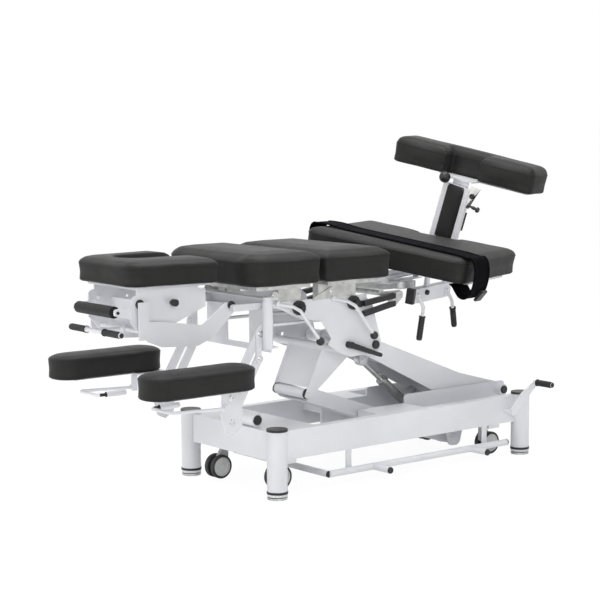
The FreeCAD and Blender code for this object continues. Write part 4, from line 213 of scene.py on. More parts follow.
VINYL = vinyl_material("vinyl_charcoal", (0.0145, 0.0143, 0.0139), (0.019, 0.0186, 0.018))
SEAM = vinyl_material("vinyl_seam", (0.006, 0.006, 0.006), (0.01, 0.01, 0.01))
WHITE = coat_material("white_coat", (0.76, 0.765, 0.8), (0.84, 0.845, 0.875))
BLACK = plastic_material("black_plastic", (0.011, 0.011, 0.013), (0.02, 0.02, 0.022))
GRIP = plastic_material("black_grip", (0.009, 0.009, 0.01), (0.015, 0.015, 0.016), 0.6)
ZINC = metal_material("zinc_plate", (0.5, 0.51, 0.5), (0.72, 0.72, 0.7), 0.36)
CHROME = metal_material("bright_steel", (0.66, 0.66, 0.67), (0.8, 0.8, 0.81), 0.2)
TREAD = plastic_material("castor_tread", (0.022, 0.022, 0.024), (0.036, 0.036, 0.04), 0.5)
FORK = plastic_material("castor_fork", (0.5, 0.5, 0.51), (0.62, 0.62, 0.63), 0.4)
TUBE = metal_material("actuator_tube", (0.42, 0.43, 0.42), (0.56, 0.57, 0.56), 0.38)
DISC = plastic_material("castor_disc", (0.55, 0.58, 0.55), (0.64, 0.67, 0.63), 0.4)
STRAP = webbing_material("strap_webbing", (0.0015, 0.0015, 0.0028), (0.0045, 0.0042, 0.007))

BY_SLOT = {
    "vinyl": VINYL, "white_coat": WHITE, "black_plastic": BLACK, "castor_fork": FORK,
    "castor_tread": TREAD, "zinc": ZINC, "lever_steel": WHITE, "webbing": STRAP,
}
SLOT_OF = {entry["node"]: entry["material_slot"] for entry in frame["record"]["subparts"]}
for name, thing in NODES.items():
    thing.data.materials.clear()
    thing.data.materials.append(BY_SLOT[SLOT_OF[name]])


def paint(node, material, test):
    """Gives another material to the faces of a CAD node whose middle passes a test, in millimetres."""
    mesh = NODES[node].data
    mesh.materials.append(material)
    for face in mesh.polygons:
        x, y, z = face.center
        if test((x - BASE_X) / MM, (y - BASE_Y) / MM, z / MM):
            face.material_index = len(mesh.materials) - 1


# The feet's lower discs are plated, the hinge plates' stays are black, the actuator's tube rises
# from its motor, and each armrest lever ends in a dark grip.
FOOT_TOP, STAY_END, TUBE_FOOT = 8.3, -38, 158
REST_GRIP_START, REST_GRIP_END, REST_GRIP_Y = -1104, -1070, 240
paint("leg_fittings", ZINC, lambda x, y, z: z < FOOT_TOP)
paint("leg_hinge_plates", BLACK, lambda x, y, z: x < STAY_END)
paint("leg_hinge_plates", ZINC, lambda x, y, z: x >= STAY_END)
for node in ("thoracic_plate", "pelvic_plate", "leg_hinge"):
    paint(node, ZINC, lambda x, y, z: True)
paint("actuator_body", TUBE, lambda x, y, z: z > TUBE_FOOT)
for word in ("near", "far"):
    paint(f"{word}_rest_lever", GRIP,
          lambda x, y, z: REST_GRIP_START < x < REST_GRIP_END and abs(y) < REST_GRIP_Y)


# Mesh helpers

def piece(name, mesh, material, body):
    """A new piece of the object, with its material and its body."""
    thing = bpy.data.objects.new(name, mesh)
    SCENE.collection.objects.link(thing)
    mesh.materials.append(material)
    for face in mesh.polygons:
        face.use_smooth = True
    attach(thing, body)
    return thing


def frame_of(start, end):
    """A frame at start whose Z axis runs to end."""
    along = (end - start).normalized()
    return Matrix.Translation(start) @ along.to_track_quat("Z", "Y").to_matrix().to_4x4()


def turned_mesh(name, profile, sides):
    """A closed solid turned about Z from (radius, height) pairs that start and end on the axis."""
    mesh = bpy.data.meshes.new(name)
    bm = bmesh.new()
    rings = []
    for radius, height in profile:
        if radius == 0:
            rings.append([bm.verts.new((0, 0, height))])
            continue
        ring = []
        for step in range(sides):
            angle = 2 * math.pi * step / sides
            ring.append(bm.verts.new((radius * math.cos(angle), radius * math.sin(angle), height)))
        rings.append(ring)
    for low, high in zip(rings, rings[1:]):
        for step in range(sides):
            after = (step + 1) % sides
            if len(low) == 1:
                bm.faces.new((low[0], high[after], high[step]))
            elif len(high) == 1:
                bm.faces.new((low[step], low[after], high[0]))
            else:
                bm.faces.new((low[step], low[after], high[after], high[step]))
    bmesh.ops.recalc_face_normals(bm, faces=bm.faces)
    bm.to_mesh(mesh)
    bm.free()
    return mesh


def turned(name, profile, place, material, body, sides):
    """A turned piece, set in its place."""
    mesh = turned_mesh(name, profile, sides)
    mesh.transform(place)
    sharpen(piece(name, mesh, material, body))


SHARP_ANGLE = math.radians(35)
ARC_STEPS = 8


def sharpen(thing):
    """Smooth faces with sharp edges kept sharp."""
    mesh = thing.data
    bm = bmesh.new()
    bm.from_mesh(mesh)
    for edge in bm.edges:
        if len(edge.link_faces) == 2 and edge.calc_face_angle(0) > SHARP_ANGLE:
            edge.smooth = False
    bm.to_mesh(mesh)
    bm.free()


PLATE_EASE = 0.0008


def slab(name, outline, thick, place, material, body, ease=PLATE_EASE):
    """A flat plate from an outline in the YZ plane, in millimetres, with eased edges."""
    bm = bmesh.new()
    front = [bm.verts.new((0, y * MM, z * MM)) for y, z in outline]
    face = bm.faces.new(front)
    grown = bmesh.ops.extrude_face_region(bm, geom=[face])
    moved = [thing for thing in grown["geom"] if isinstance(thing, bmesh.types.BMVert)]
    bmesh.ops.translate(bm, verts=moved, vec=(thick, 0, 0))
    bmesh.ops.recalc_face_normals(bm, faces=bm.faces)
    bmesh.ops.bevel(bm, geom=bm.edges[:], offset=ease, segments=2, affect="EDGES")
    mesh = bpy.data.meshes.new(name)
    bm.to_mesh(mesh)
    bm.free()
    mesh.transform(place)
    sharpen(piece(name, mesh, material, body))


def arc_points(middle, radius, start, stop):
    """Points of an arc in a plane, in millimetres and degrees."""
    angles = [math.radians(start + (stop - start) * step / ARC_STEPS) for step in range(ARC_STEPS + 1)]
    return [(middle[0] + radius * math.cos(angle), middle[1] + radius * math.sin(angle))
            for angle in angles]


BOLT_HEIGHT = 0.006


def bolt(name, start, direction, radius, body):
    """A socket-head bolt with a washer, standing on a face."""
    place = frame_of(start, start + direction)
    rim = radius * 0.18
    washer = radius * 1.45
    step = BOLT_HEIGHT * 0.22
    socket = radius * 0.5
    profile = [
        (0, -0.0008), (washer, -0.0008), (washer, step * 0.8), (washer - step * 0.4, step),
        (radius, step), (radius, BOLT_HEIGHT - rim), (radius - rim, BOLT_HEIGHT),
        (socket, BOLT_HEIGHT), (socket * 0.94, BOLT_HEIGHT * 0.5), (0, BOLT_HEIGHT * 0.45),
    ]
    turned(name, profile, place, CHROME, body, 24)


def cap(name, start, direction, radius, body, height):
    """A domed plug or cover."""
    place = frame_of(start, start + direction)
    profile = [
        (0, -0.001), (radius, -0.001), (radius, height * 0.55), (radius * 0.92, height * 0.85),
        (radius * 0.6, height), (radius * 0.5, height * 0.93), (0, height * 0.9),
    ]
    turned(name, profile, place, BLACK, body, 32)


def grip(name, start, end, radius, body, ribs):
    """A ribbed sleeve over a rod, with a flange and a rounded end."""
    length = (end - start).length
    flange = radius * 1.18
    profile = [(0, 0), (flange, 0), (flange, radius * 0.3), (radius, radius * 0.5)]
    begin, stop = radius * 0.8, length - radius * 0.9
    for rib in range(ribs):
        middle = begin + (stop - begin) * (rib + 0.5) / ribs
        half = (stop - begin) / ribs * 0.5
        profile += [
            (radius, middle - half * 0.95), (radius * 1.05, middle - half * 0.5),
            (radius * 1.05, middle + half * 0.5), (radius, middle + half * 0.95),
        ]
    profile += [(radius, stop), (radius * 0.94, length - radius * 0.3), (radius * 0.6, length), (0, length)]
    turned(name, profile, frame_of(start, end), GRIP, body, 28)


def curve_along(name, points, radius, rounding, kind):
    """A curve with a round section and its one spline, through points."""
    curve = bpy.data.curves.new(name + "_path", "CURVE")
    curve.dimensions = "3D"
    curve.bevel_depth = radius
    curve.bevel_resolution = rounding
    spline = curve.splines.new(kind)
    spline.points.add(len(points) - 1)
    for point, spot in zip(spline.points, points):
        point.co = (*spot, 1)
    return curve, spline


def mesh_of(curve):
    """The curve's surface as a mesh without materials."""
    holder = bpy.data.objects.new(curve.name, curve)
    SCENE.collection.objects.link(holder)
    bpy.context.view_layer.update()
    mesh = bpy.data.meshes.new_from_object(holder.evaluated_get(bpy.context.evaluated_depsgraph_get()))
    bpy.data.objects.remove(holder)
    mesh.materials.clear()
    return mesh


def rod(name, points, radius, material, body):
    """A bent rod, on a smooth spline with closed ends."""
    curve, spline = curve_along(name, points, radius, 4, "NURBS")
    curve.use_fill_caps = True
    spline.order_u = 3
    spline.use_endpoint_u = True
    piece(name, mesh_of(curve), material, body)


# Cushions

OUTLINE_STEP = 0.012


def rounded_outline(corners):
    """Points along a rounded outline, in metres, from (x, y, radius) corners in millimetres."""
    points = []
    count = len(corners)
    for index, (x, y, radius) in enumerate(corners):
        here = Vector((x, y)) * MM
        before = Vector(corners[index - 1][:2]) * MM
        after = Vector(corners[(index + 1) % count][:2]) * MM
        back = (before - here).normalized()
        ahead = (after - here).normalized()
        half = back.angle(ahead) / 2
        reach = radius * MM / math.tan(half)
        first, last = here + back * reach, here + ahead * reach
        for number in range(ARC_STEPS + 1):
            share = number / ARC_STEPS
            points.append(first * (1 - share) ** 2 + here * 2 * share * (1 - share) + last * share ** 2)
    dense = []
    for index, point in enumerate(points):
        following = points[(index + 1) % len(points)]
        parts = max(1, int((following - point).length / OUTLINE_STEP))
        for number in range(parts):
            dense.append(point.lerp(following, number / parts))
    return dense


SAME_SPOT, FLAT_BOTTOM = 1e-5, 1e-4


def cushion_mesh(node, place, shrink):
    """The CAD cushion's mesh, a little smaller, in its own level frame."""
    mesh = NODES[node].data.copy()
    mesh.transform(place.inverted())
    bm = bmesh.new()
    bm.from_mesh(mesh)
    bmesh.ops.remove_doubles(bm, verts=bm.verts, dist=SAME_SPOT)
    bmesh.ops.recalc_face_normals(bm, faces=bm.faces)
    low = min(vert.co.z for vert in bm.verts)
    for vert in bm.verts:
        level = vert.co.z
        vert.co -= vert.normal * shrink
        if level < low + FLAT_BOTTOM:
            vert.co.z = low
    bm.to_mesh(mesh)
    bm.free()
    return mesh


def remesh(thing, size):
    """Even faces of one size, for the cloth."""
    change = thing.modifiers.new("even", "REMESH")
    change.mode = "VOXEL"
    change.voxel_size = size
    change.use_smooth_shade = True
    apply_all(thing)


def apply_all(thing):
    """Fixes every modifier's result into the mesh."""
    bpy.context.view_layer.update()
    graph = bpy.context.evaluated_depsgraph_get()
    mesh = bpy.data.meshes.new_from_object(thing.evaluated_get(graph))
    thing.modifiers.clear()
    thing.data = mesh


SIM_FRAMES = 20
TAUT_ROUNDS = 30


def puff(thing, pressure, most):
    """Cloth under pressure, its movement held to a limit, then fixed into the mesh."""
    before = [vert.co.copy() for vert in thing.data.vertices]
    cloth = thing.modifiers.new("cloth", "CLOTH")
    settings = cloth.settings
    settings.quality = 4
    settings.mass = 0.4
    settings.use_pressure = True
    settings.uniform_pressure_force = pressure
    settings.effector_weights.gravity = 0.0
    settings.tension_stiffness = 25
    settings.compression_stiffness = 25
    settings.bending_stiffness = 2.0
    cloth.point_cache.frame_start = 1
    cloth.point_cache.frame_end = SIM_FRAMES
    for number in range(1, SIM_FRAMES + 1):
        SCENE.frame_set(number)
    apply_all(thing)
    SCENE.frame_set(1)
    # The cover is pulled taut: its movement is evened out between neighbours, so no creases stay.
    moved = []
    for vert, start in zip(thing.data.vertices, before):
        away = vert.co - start
        moved.append(away.normalized() * most if away.length > most else away)
    near = [[] for _ in moved]
    for edge in thing.data.edges:
        one, other = edge.vertices
        near[one].append(other)
        near[other].append(one)
    for _ in range(TAUT_ROUNDS):
        moved = [(away + sum((moved[other] for other in near[number]), Vector()) / len(near[number])) / 2
                 for number, away in enumerate(moved)]
    for vert, start, away in zip(thing.data.vertices, before, moved):
        vert.co = start + away


def seam_ring(name, body, tree, place, corners, level, radius):
    """A line of piping round a cushion, laid on its surface."""
    points = []
    for spot in rounded_outline(corners):
        near = tree.find_nearest(Vector((spot.x, spot.y, level)))[0]
        points.append(place @ near)
    curve, spline = curve_along(name, points, radius, 2, "POLY")
    spline.use_cyclic_u = True
    piece(name, mesh_of(curve), SEAM, body)


def smooth_step(low, high, value):
    """A share from 0 at low to 1 at high, with an easy start and end."""
    share = min(max((value - low) / (high - low), 0.0), 1.0)
    return share * share * (3 - 2 * share)


# Each cushion has its body, its frame, the levels of its seam and its underside, and its plan as
# (x, y, corner radius), all in millimetres; shrink is how far its cover starts inside the solid.
SHRINK, LEG_SHRINK = 0.003, 0.0055
CUSHIONS = {
    "thoracic_cushion": dict(body="thoracic", place=ROW, seam=871, bottom=782, corners=[
        (-750, -300, 92), (-427, -300, 22), (-427, 300, 22), (-750, 300, 92)]),
    "pelvic_cushion": dict(body="pelvic", place=ROW, seam=871, bottom=782, corners=[
        (-420, -300, 22), (-88, -300, 22), (-88, 300, 22), (-420, 300, 22)]),
    "head_cushion": dict(body="head_tray", place=ROW, seam=868, bottom=806, corners=[
        (-1201, -196, 62), (-836, -232, 22), (-836, 232, 22), (-1201, 196, 62)]),
    "near_rest_cushion": dict(body="near_rest_pad", place=ROW, seam=506, bottom=433, corners=[
        (-1235, -380, 76), (-764, -380, 76), (-764, -220, 76), (-1235, -220, 76)]),
    "far_rest_cushion": dict(body="far_rest_pad", place=ROW, seam=506, bottom=433, corners=[
        (-1235, 220, 76), (-764, 220, 76), (-764, 380, 76), (-1235, 380, 76)]),
    "leg_cushion": dict(body="leg_rest", place=LEG, seam=0, bottom=-80, shrink=LEG_SHRINK, corners=[
        (0, -370, 46), (560, -370, 46), (560, -71, 11), (498, -71, 11), (498, 81, 11),
        (560, 81, 11), (560, 370, 46), (0, 370, 46)]),
    "ankle_cushion": dict(body="ankle_top", place=TOP, seam=346, bottom=265, corners=[
        (0, -338, 34), (188, -338, 34), (188, 338, 34), (0, 338, 34), (0, 78, 9), (70, 78, 9),
        (70, -78, 9), (0, -78, 9)]),
}
CLOTH_FACE, CLOTH_PRESSURE, MOST_PUFF = 0.006, 4.0, 0.005
SEAM_RADIUS, LOW_SEAM_RADIUS, LOW_SEAM_RISE = 0.0017, 0.0014, 6

SURFACES = {}
for node, facts in CUSHIONS.items():
    place = facts["place"]
    mesh = cushion_mesh(node, place, facts.get("shrink", SHRINK))
    thing = bpy.data.objects.new(node + "_cover", mesh)
    SCENE.collection.objects.link(thing)
    remesh(thing, CLOTH_FACE)
    puff(thing, CLOTH_PRESSURE, MOST_PUFF)
    soften = thing.modifiers.new("soften", "SMOOTH")
    soften.factor = 0.5
    soften.iterations = 3
    finer = thing.modifiers.new("finer", "SUBSURF")
    finer.levels = finer.render_levels = 1
    apply_all(thing)
    for vert in thing.data.vertices:
        vert.co.z = max(vert.co.z, facts["bottom"] * MM)
    # The surface is kept in the cushion's own frame, for the seams and the strap.
    tree = BVHTree.FromObject(thing, bpy.context.evaluated_depsgraph_get())
    SURFACES[node] = tree
    thing.data.transform(place)
    thing.data.materials.clear()
    thing.data.materials.append(VINYL)
    for face in thing.data.polygons:
        face.use_smooth = True
    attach(thing, facts["body"])
    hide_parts(node)
    seam_ring(node + "_seam", facts["body"], tree, place, facts["corners"], facts["seam"] * MM,
              SEAM_RADIUS)
    seam_ring(node + "_low_seam", facts["body"], tree, place, facts["corners"],
              (facts["bottom"] + LOW_SEAM_RISE) * MM, LOW_SEAM_RADIUS)


# Leg strap

STRAP_PLACE = LEG @ Matrix.Translation((0.127, 0, 0)) @ turn(-5, "Z")
STRAP_HALF, STRAP_THICK = 0.06, 0.003
OVER_HALF, OVER_STEPS = 0.36, 24
STRAP_GAP, FAR_LIFT = 0.0025, 0.007


def strap_profile():
    """The strap's line in its own side view: over the cushion, down, and looped at the near side."""
    tree = SURFACES["leg_cushion"]
    local = LEG.inverted() @ STRAP_PLACE
    over = []
    for step in range(OVER_STEPS + 1):
        y = OVER_HALF * (2 * step / OVER_STEPS - 1)
        highest = 0.02
        for x in (-STRAP_HALF, 0, STRAP_HALF):
            start = local @ Vector((x, y, 0.2))
            hit = tree.ray_cast(start, Vector((0, 0, -1)))[0]
            if hit:
                highest = max(highest, hit.z)
        lifted = FAR_LIFT * smooth_step(0.2, 0.34, y)
        over.append((y, highest + STRAP_GAP + lifted))
    near = [(-0.298, -0.09), (-0.312, -0.096), (-0.332, -0.118), (-0.352, -0.134), (-0.376, -0.132),
            (-0.394, -0.106), (-0.402, -0.065), (-0.4, -0.02), (-0.3885, 0.012), (-0.3735, 0.025)]
    far = [(0.3765, 0.025), (0.3855, 0.004), (0.385, -0.05), (0.38, -0.094)]
    return near + over + far


PARTS = 4


def smoothed(line):
    """A smooth line through points, with a few more between each two."""
    spots = []
    for index in range(len(line) - 1):
        p0 = Vector(line[max(index - 1, 0)])
        p1, p2 = Vector(line[index]), Vector(line[index + 1])
        p3 = Vector(line[min(index + 2, len(line) - 1)])
        for number in range(PARTS):
            t = number / PARTS
            spots.append(0.5 * (2 * p1 + (p2 - p0) * t + (2 * p0 - 5 * p1 + 4 * p2 - p3) * t * t
                                + (3 * p1 - p0 - 3 * p2 + p3) * t ** 3))
    spots.append(Vector(line[-1]))
    return spots


def strap_mesh(name, line, half, thick):
    """A ribbon of webbing with rounded selvedges, along a smoothed line."""
    spots = smoothed(line)
    shares = [-1, -0.985, -0.94, -0.88, -0.6, -0.2, 0.2, 0.6, 0.88, 0.94, 0.985, 1]
    rise = [0.35, 1.3, 1.6, 0.8, 0.8, 0.9, 0.9, 0.8, 0.8, 1.6, 1.3, 0.35]
    bm = bmesh.new()
    layer = bm.loops.layers.uv.new("UVMap")
    top, low = [], []
    run = [0.0]
    for index, spot in enumerate(spots):
        before, after = spots[max(index - 1, 0)], spots[min(index + 1, len(spots) - 1)]
        along = (after - before).normalized()
        out = Vector((-along.y, along.x))
        top.append([bm.verts.new((half * share, *(spot + out * thick * up)))
                    for share, up in zip(shares, rise)])
        low.append([bm.verts.new((half * share, *(spot - out * thick * 0.3)))
                    for share in shares])
        if index:
            run.append(run[-1] + (spot - spots[index - 1]).length)
    wide = len(shares)
    for index in range(len(spots) - 1):
        for column in range(wide - 1):
            for rows, flip in ((top, False), (low, True)):
                quad = [rows[index][column], rows[index][column + 1], rows[index + 1][column + 1],
                        rows[index + 1][column]]
                marks = [(column, index), (column + 1, index), (column + 1, index + 1),
                         (column, index + 1)]
                if flip:
                    quad.reverse()
                    marks.reverse()
                face = bm.faces.new(quad)
                for loop, (mark_across, mark_along) in zip(face.loops, marks):
                    loop[layer].uv = (shares[mark_across] * half, run[mark_along])
        for column in (0, wide - 1):
            bm.faces.new((top[index][column], top[index + 1][column], low[index + 1][column],
                          low[index][column]))
    for index in (0, len(spots) - 1):
        for column in range(wide - 1):
            bm.faces.new((top[index][column], top[index][column + 1], low[index][column + 1],
                          low[index][column]))
    bmesh.ops.recalc_face_normals(bm, faces=bm.faces)
    mesh = bpy.data.meshes.new(name)
    bm.to_mesh(mesh)
    bm.free()
    return mesh, run[-1]


mesh, strap_length = strap_mesh("strap", strap_profile(), STRAP_HALF, STRAP_THICK)
mesh.transform(STRAP_PLACE)
strap = piece("leg_strap_band", mesh, STRAP, "leg_rest")
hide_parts("leg_strap")

BUCKLE_PLACE = STRAP_PLACE @ Matrix.Translation((0.012, -0.3925, -0.1255)) @ turn(32, "X")
slab("strap_buckle", [(-6, -26), (6, -26), (6, 26), (-6, 26)], 0.046, BUCKLE_PLACE, BLACK,
     "leg_rest", ease=0.0025)

# Grips, balls and sleeves

BALL_RADIUS, BALL_STEPS = 0.0158, 16
WHEEL_Z, HUB_Y, RIM_Y, BALL_Y, BALL_Z = 687, -228.8, -221.3, -257.8, 560.6
WHEELS = (("thoracic", -480), ("pelvic", -216))
BALL_AHEAD = 64.9
NEAR = Vector((0, -1, 0))
FAR = Vector((0, 1, 0))
SIDES = (("near", -1, NEAR), ("far", 1, FAR))

grip("pedal_grip", at(672, -334, 299), at(672, -421, 299), 0.0125, "castor_lever", 6)
for word, side, direction in SIDES:
    grip(f"head_handle_grip_{word}", at(-1221, side * 58, 643), at(-1221, side * 170, 643), 0.0115,
         "head_handle", 8)

ball_profile = [(0, -BALL_RADIUS)]
for step in range(1, BALL_STEPS):
    angle = math.pi * step / BALL_STEPS
    ball_profile.append((BALL_RADIUS * math.sin(angle), -BALL_RADIUS * math.cos(angle)))
ball_profile.append((0, BALL_RADIUS))
hub_profile = [(0, -0.0006), (0.0072, -0.0006), (0.0068, 0.003), (0.005, 0.0045), (0, 0.0045)]
ring_profile = [(0, -0.0006), (0.0205, -0.0006), (0.0205, 0.0012), (0.0195, 0.0022),
                (0.0145, 0.0022), (0.0135, 0.0012), (0.0135, 0.0003), (0, 0.0003)]
for name, wheel_x in WHEELS:
    ball_place = Matrix.Translation(at(wheel_x + BALL_AHEAD, BALL_Y, BALL_Z))
    hub, rim = at(wheel_x, HUB_Y, WHEEL_Z), at(wheel_x, RIM_Y, WHEEL_Z)
    for label, profile, place, body in (
            (f"{name}_ball", ball_profile, ball_place, f"{name}_lever"),
            (f"{name}_wheel_face", hub_profile, frame_of(hub, hub + NEAR), f"{name}_wheel"),
            (f"{name}_wheel_ring", ring_profile, frame_of(rim, rim + NEAR), f"{name}_wheel")):
        turned(label, profile, place, BLACK, body, 32)
for label, start, end in (
        ("leg_handle_head", (35, -200, -239), (35, -200, -338)),
        ("leg_handle_foot", (318, -200, -233.9), (363, -200, -318))):
    grip(label + "_grip", in_leg(*start), in_leg(*end), 0.0118, label, 7)

# Bolts and caps

# Plates for the drop cams: middle, outline and the bolt's place along it, in millimetres.
CAM_PLATES = (
    (-590, 722, 0, [(-34, -14), (30, -14), (34, -8), (12, 28), (0, 34), (-12, 28), (-36, -6)]),
    (-355, 722, 34, [(-56, -14), (50, -10), (56, 0), (48, 26), (34, 34), (16, 26), (-56, -4)]),
)
PLATE_Y, PLATE_WALL, CAM_BOLT_RISE = 205.6, 4, 16
RAIL_Y, RAIL_LOW, RAIL_HIGH, RAIL_HALF = 150, -196.5, -135.5, 16.5
# Rows of two bolts: name, places (x, z), distance from the middle plane, radius and body.
BOLT_ROWS = (
    ("rest_bolt", ((-668, 606), (-668, 515)), 221.8, 0.009, "{}_rest_swivel"),
    ("bracket_bolt", ((-796, 388), (-796, 297)), 220.8, 0.01, "{}_rest_pad"),
    ("hinge_bolt", ((-10, 690), (-18, 670)), 210, 0.006, "upper"),
)
for word, side, direction in SIDES:
    near_edge, far_edge = side * RAIL_Y - RAIL_HALF, side * RAIL_Y + RAIL_HALF
    slab(f"leg_rail_cap_{word}", [(near_edge, RAIL_LOW), (far_edge, RAIL_LOW), (far_edge, RAIL_HIGH),
                                  (near_edge, RAIL_HIGH)], 0.022,
         LEG @ Matrix.Translation((-0.003, 0, 0)), BLACK, "leg_rest", ease=0.0015)
    for number, (x, z, bolt_x, outline) in enumerate(CAM_PLATES):
        shape = outline if side < 0 else [(-along, up) for along, up in reversed(outline)]
        slab(f"cam_plate_{word}_{number}", shape, PLATE_WALL * MM,
             Matrix.Translation(at(x, side * PLATE_Y, z)) @ turn(side * 90, "Z"), ZINC, "upper")
        bolt(f"cam_bolt_{word}_{number}", at(x + bolt_x, side * (PLATE_Y + PLATE_WALL),
                                             z + CAM_BOLT_RISE), direction, 0.0075, "upper")
    cap(f"side_cap_{word}", at(-176, side * 206, 678), direction, 0.013, "upper", 0.007)
    cap(f"lift_pivot_cap_{word}", at(-100, side * 207, 515), direction, 0.017, "lift_arm", 0.008)
    for name, places, y, radius, body in BOLT_ROWS:
        for number, (x, z) in enumerate(places):
            bolt(f"{name}_{word}_{number}", at(x, side * y, z), direction, radius, body.format(word))
    cap(f"tray_pivot_cap_{word}", at(-1130, side * 143, 742), direction, 0.017, "head_tray", 0.009)
    cap(f"arm_pivot_cap_{word}", at(-752, side * 161, 713), direction, 0.0155, "head_arm", 0.009)

cap("leg_rail_knob", in_leg(114, -164.5, -156), LEG.to_3x3() @ NEAR, 0.0105, "leg_rest", 0.014)

# Plugs, rings and small parts of the base and the lift

sleeve = [(0, -0.001), (0.024, -0.001), (0.024, 0.016), (0.0252, 0.017), (0.0252, 0.023),
          (0.024, 0.024), (0.024, 0.034), (0.018, 0.035), (0, 0.035)]
ring = [(0, 0), (0.0205, 0), (0.0205, 0.005), (0.0195, 0.006), (0, 0.006)]
BAR_Z, BAR_Y, STUB_Y, PLUG_RADIUS, PLUG_HEIGHT = 62, 292, 390, 0.0128, 0.006
LIFT_FOOT_X, LIFT_FOOT_Z = 655, 250
LINK_X, LINK_Z = -349, 334
for word, side, direction in SIDES:
    for number, x in enumerate((-185, 330)):
        cap(f"stub_plug_{word}_{number}", at(x, side * STUB_Y, BAR_Z), direction, PLUG_RADIUS,
            "foot_bar", PLUG_HEIGHT)
    cap(f"cross_plug_{word}", at(-405, side * BAR_Y, BAR_Z), direction, PLUG_RADIUS, "foot_bar",
        PLUG_HEIGHT)
    cap(f"run_plug_{word}", at(535, side * BAR_Y, BAR_Z), Vector((1, 0, 0)), 0.0132, "foot_bar",
        PLUG_HEIGHT)
    foot = at(LIFT_FOOT_X, side * 122, LIFT_FOOT_Z)
    turned(f"lift_foot_sleeve_{word}", sleeve, frame_of(foot, foot + direction), WHITE, "base",
           32)
    cap(f"lift_foot_plug_{word}", at(LIFT_FOOT_X, side * 156, LIFT_FOOT_Z), direction, 0.017, "base",
        0.009)
    link = at(LINK_X, side * 91, LINK_Z)
    turned(f"link_ring_{word}", ring, frame_of(link, link + direction), BLACK, "lower_link",
           32)

BUFFER_X, BUFFER_Z = -626, 273
buffer = [(0, 0), (0.0255, 0), (0.0265, 0.002), (0.0265, 0.078), (0.0245, 0.08), (0.019, 0.08),
          (0.019, 0.076), (0, 0.076)]
buffer_foot = at(BUFFER_X, -66, BUFFER_Z)
turned("deck_buffer", buffer, frame_of(buffer_foot, buffer_foot + NEAR), WHITE, "base",
       36)
cap("deck_buffer_plug", at(BUFFER_X, -143, BUFFER_Z), NEAR, 0.0186, "base", 0.009)


GRID_CUTS, BROAD_FACE, TINY = 11, 0.99, 1e-9


def cushion_block(name, size, round_off, crown, place, body):
    """A small upholstered pad: a gridded block with rounded edges, crowned on both broad faces."""
    half = Vector(size) / 2
    bm = bmesh.new()
    bmesh.ops.create_cube(bm, size=2)
    bmesh.ops.subdivide_edges(bm, edges=bm.edges, cuts=GRID_CUTS, use_grid_fill=True)
    core = half - Vector((round_off, round_off, round_off))
    for vert in bm.verts:
        unit = vert.co.copy()
        spot = Vector((unit.x * half.x, unit.y * half.y, unit.z * half.z))
        inner = Vector([min(max(spot[i], -core[i]), core[i]) for i in range(3)])
        away = spot - inner
        vert.co = inner + (away.normalized() * round_off if away.length > TINY else away)
        if abs(unit.x) > BROAD_FACE:
            vert.co.x += math.copysign(crown * (1 - unit.y ** 2) * (1 - unit.z ** 4), unit.x)
    mesh = bpy.data.meshes.new(name)
    bm.to_mesh(mesh)
    bm.free()
    mesh.transform(place)
    pad = piece(name, mesh, VINYL, body)


cushion_block("post_pad_cover", (0.0395, 0.0792, 0.2345), 0.009, 0.003,
              POST @ Matrix.Translation((0, 0, 0.1185)), "ankle_post")

# Parts of the ankle post's bracket

slab("ankle_ear", [(-66, 254), (-66, 166), *arc_points((-76, 168), 9, 240, 350), (-112, 254)],
     0.004, POST @ Matrix.Translation((-0.016, 0, 0)), ZINC, "ankle_top")
cap("ankle_ear_cap", in_post(-16.4, -82, 214), POST.to_3x3() @ Vector((-1, 0, 0)), 0.0115,
    "ankle_top", 0.008)
plunger = [(0, 0), (0.006, 0), (0.006, 0.012), (0.0045, 0.013), (0.0045, 0.02), (0.007, 0.021),
           (0.0075, 0.034), (0.006, 0.036), (0.0055, 0.04), (0.0115, 0.043), (0.012, 0.05),
           (0.01, 0.054), (0, 0.055)]
turned("ankle_plunger", plunger, frame_of(in_post(-14, -74, 172), in_post(-14, -130, 166)), BLACK,
       "ankle_top", 28)
rod("ankle_lever_rod", [in_post(24, -40, 216), in_post(30, -50, 190), in_post(30, -52, 160),
                        in_post(30, -53, 120)], 0.004, ZINC, "ankle_top")
grip("ankle_lever_grip", in_post(30, -53, 130), in_post(30, -53, 50), 0.0088, "ankle_top", 5)

# Castor discs

CASTOR_TRAIL, AXLE_Z, DISC_Y = 30, 48.5, 29
disc_profile = [
    (0, -0.0034), (0.0366, -0.0034), (0.0366, -0.0012), (0.034, 0.0002), (0.026, -0.0006),
    (0.0245, -0.0022), (0.013, -0.0022), (0.0115, 0.0008), (0.006, 0.0018), (0, 0.0018),
]
for end, x, y in (("head", -565, 150), ("foot", 496, 190)):
    for word, side, _ in SIDES:
        # The far castor at the head end stands turned round.
        away = -CASTOR_TRAIL if (end, word) == ("head", "far") else CASTOR_TRAIL
        for number, direction in enumerate((NEAR, FAR)):
            axle = at(x + away, side * y + DISC_Y * direction.y, AXLE_Z)
            turned(f"castor_disc_{end}_{word}_{number}", disc_profile,
                   frame_of(axle, axle + direction), DISC, f"castor_wheels_{end}_{word}",
                   40)

# Floor, lights and camera

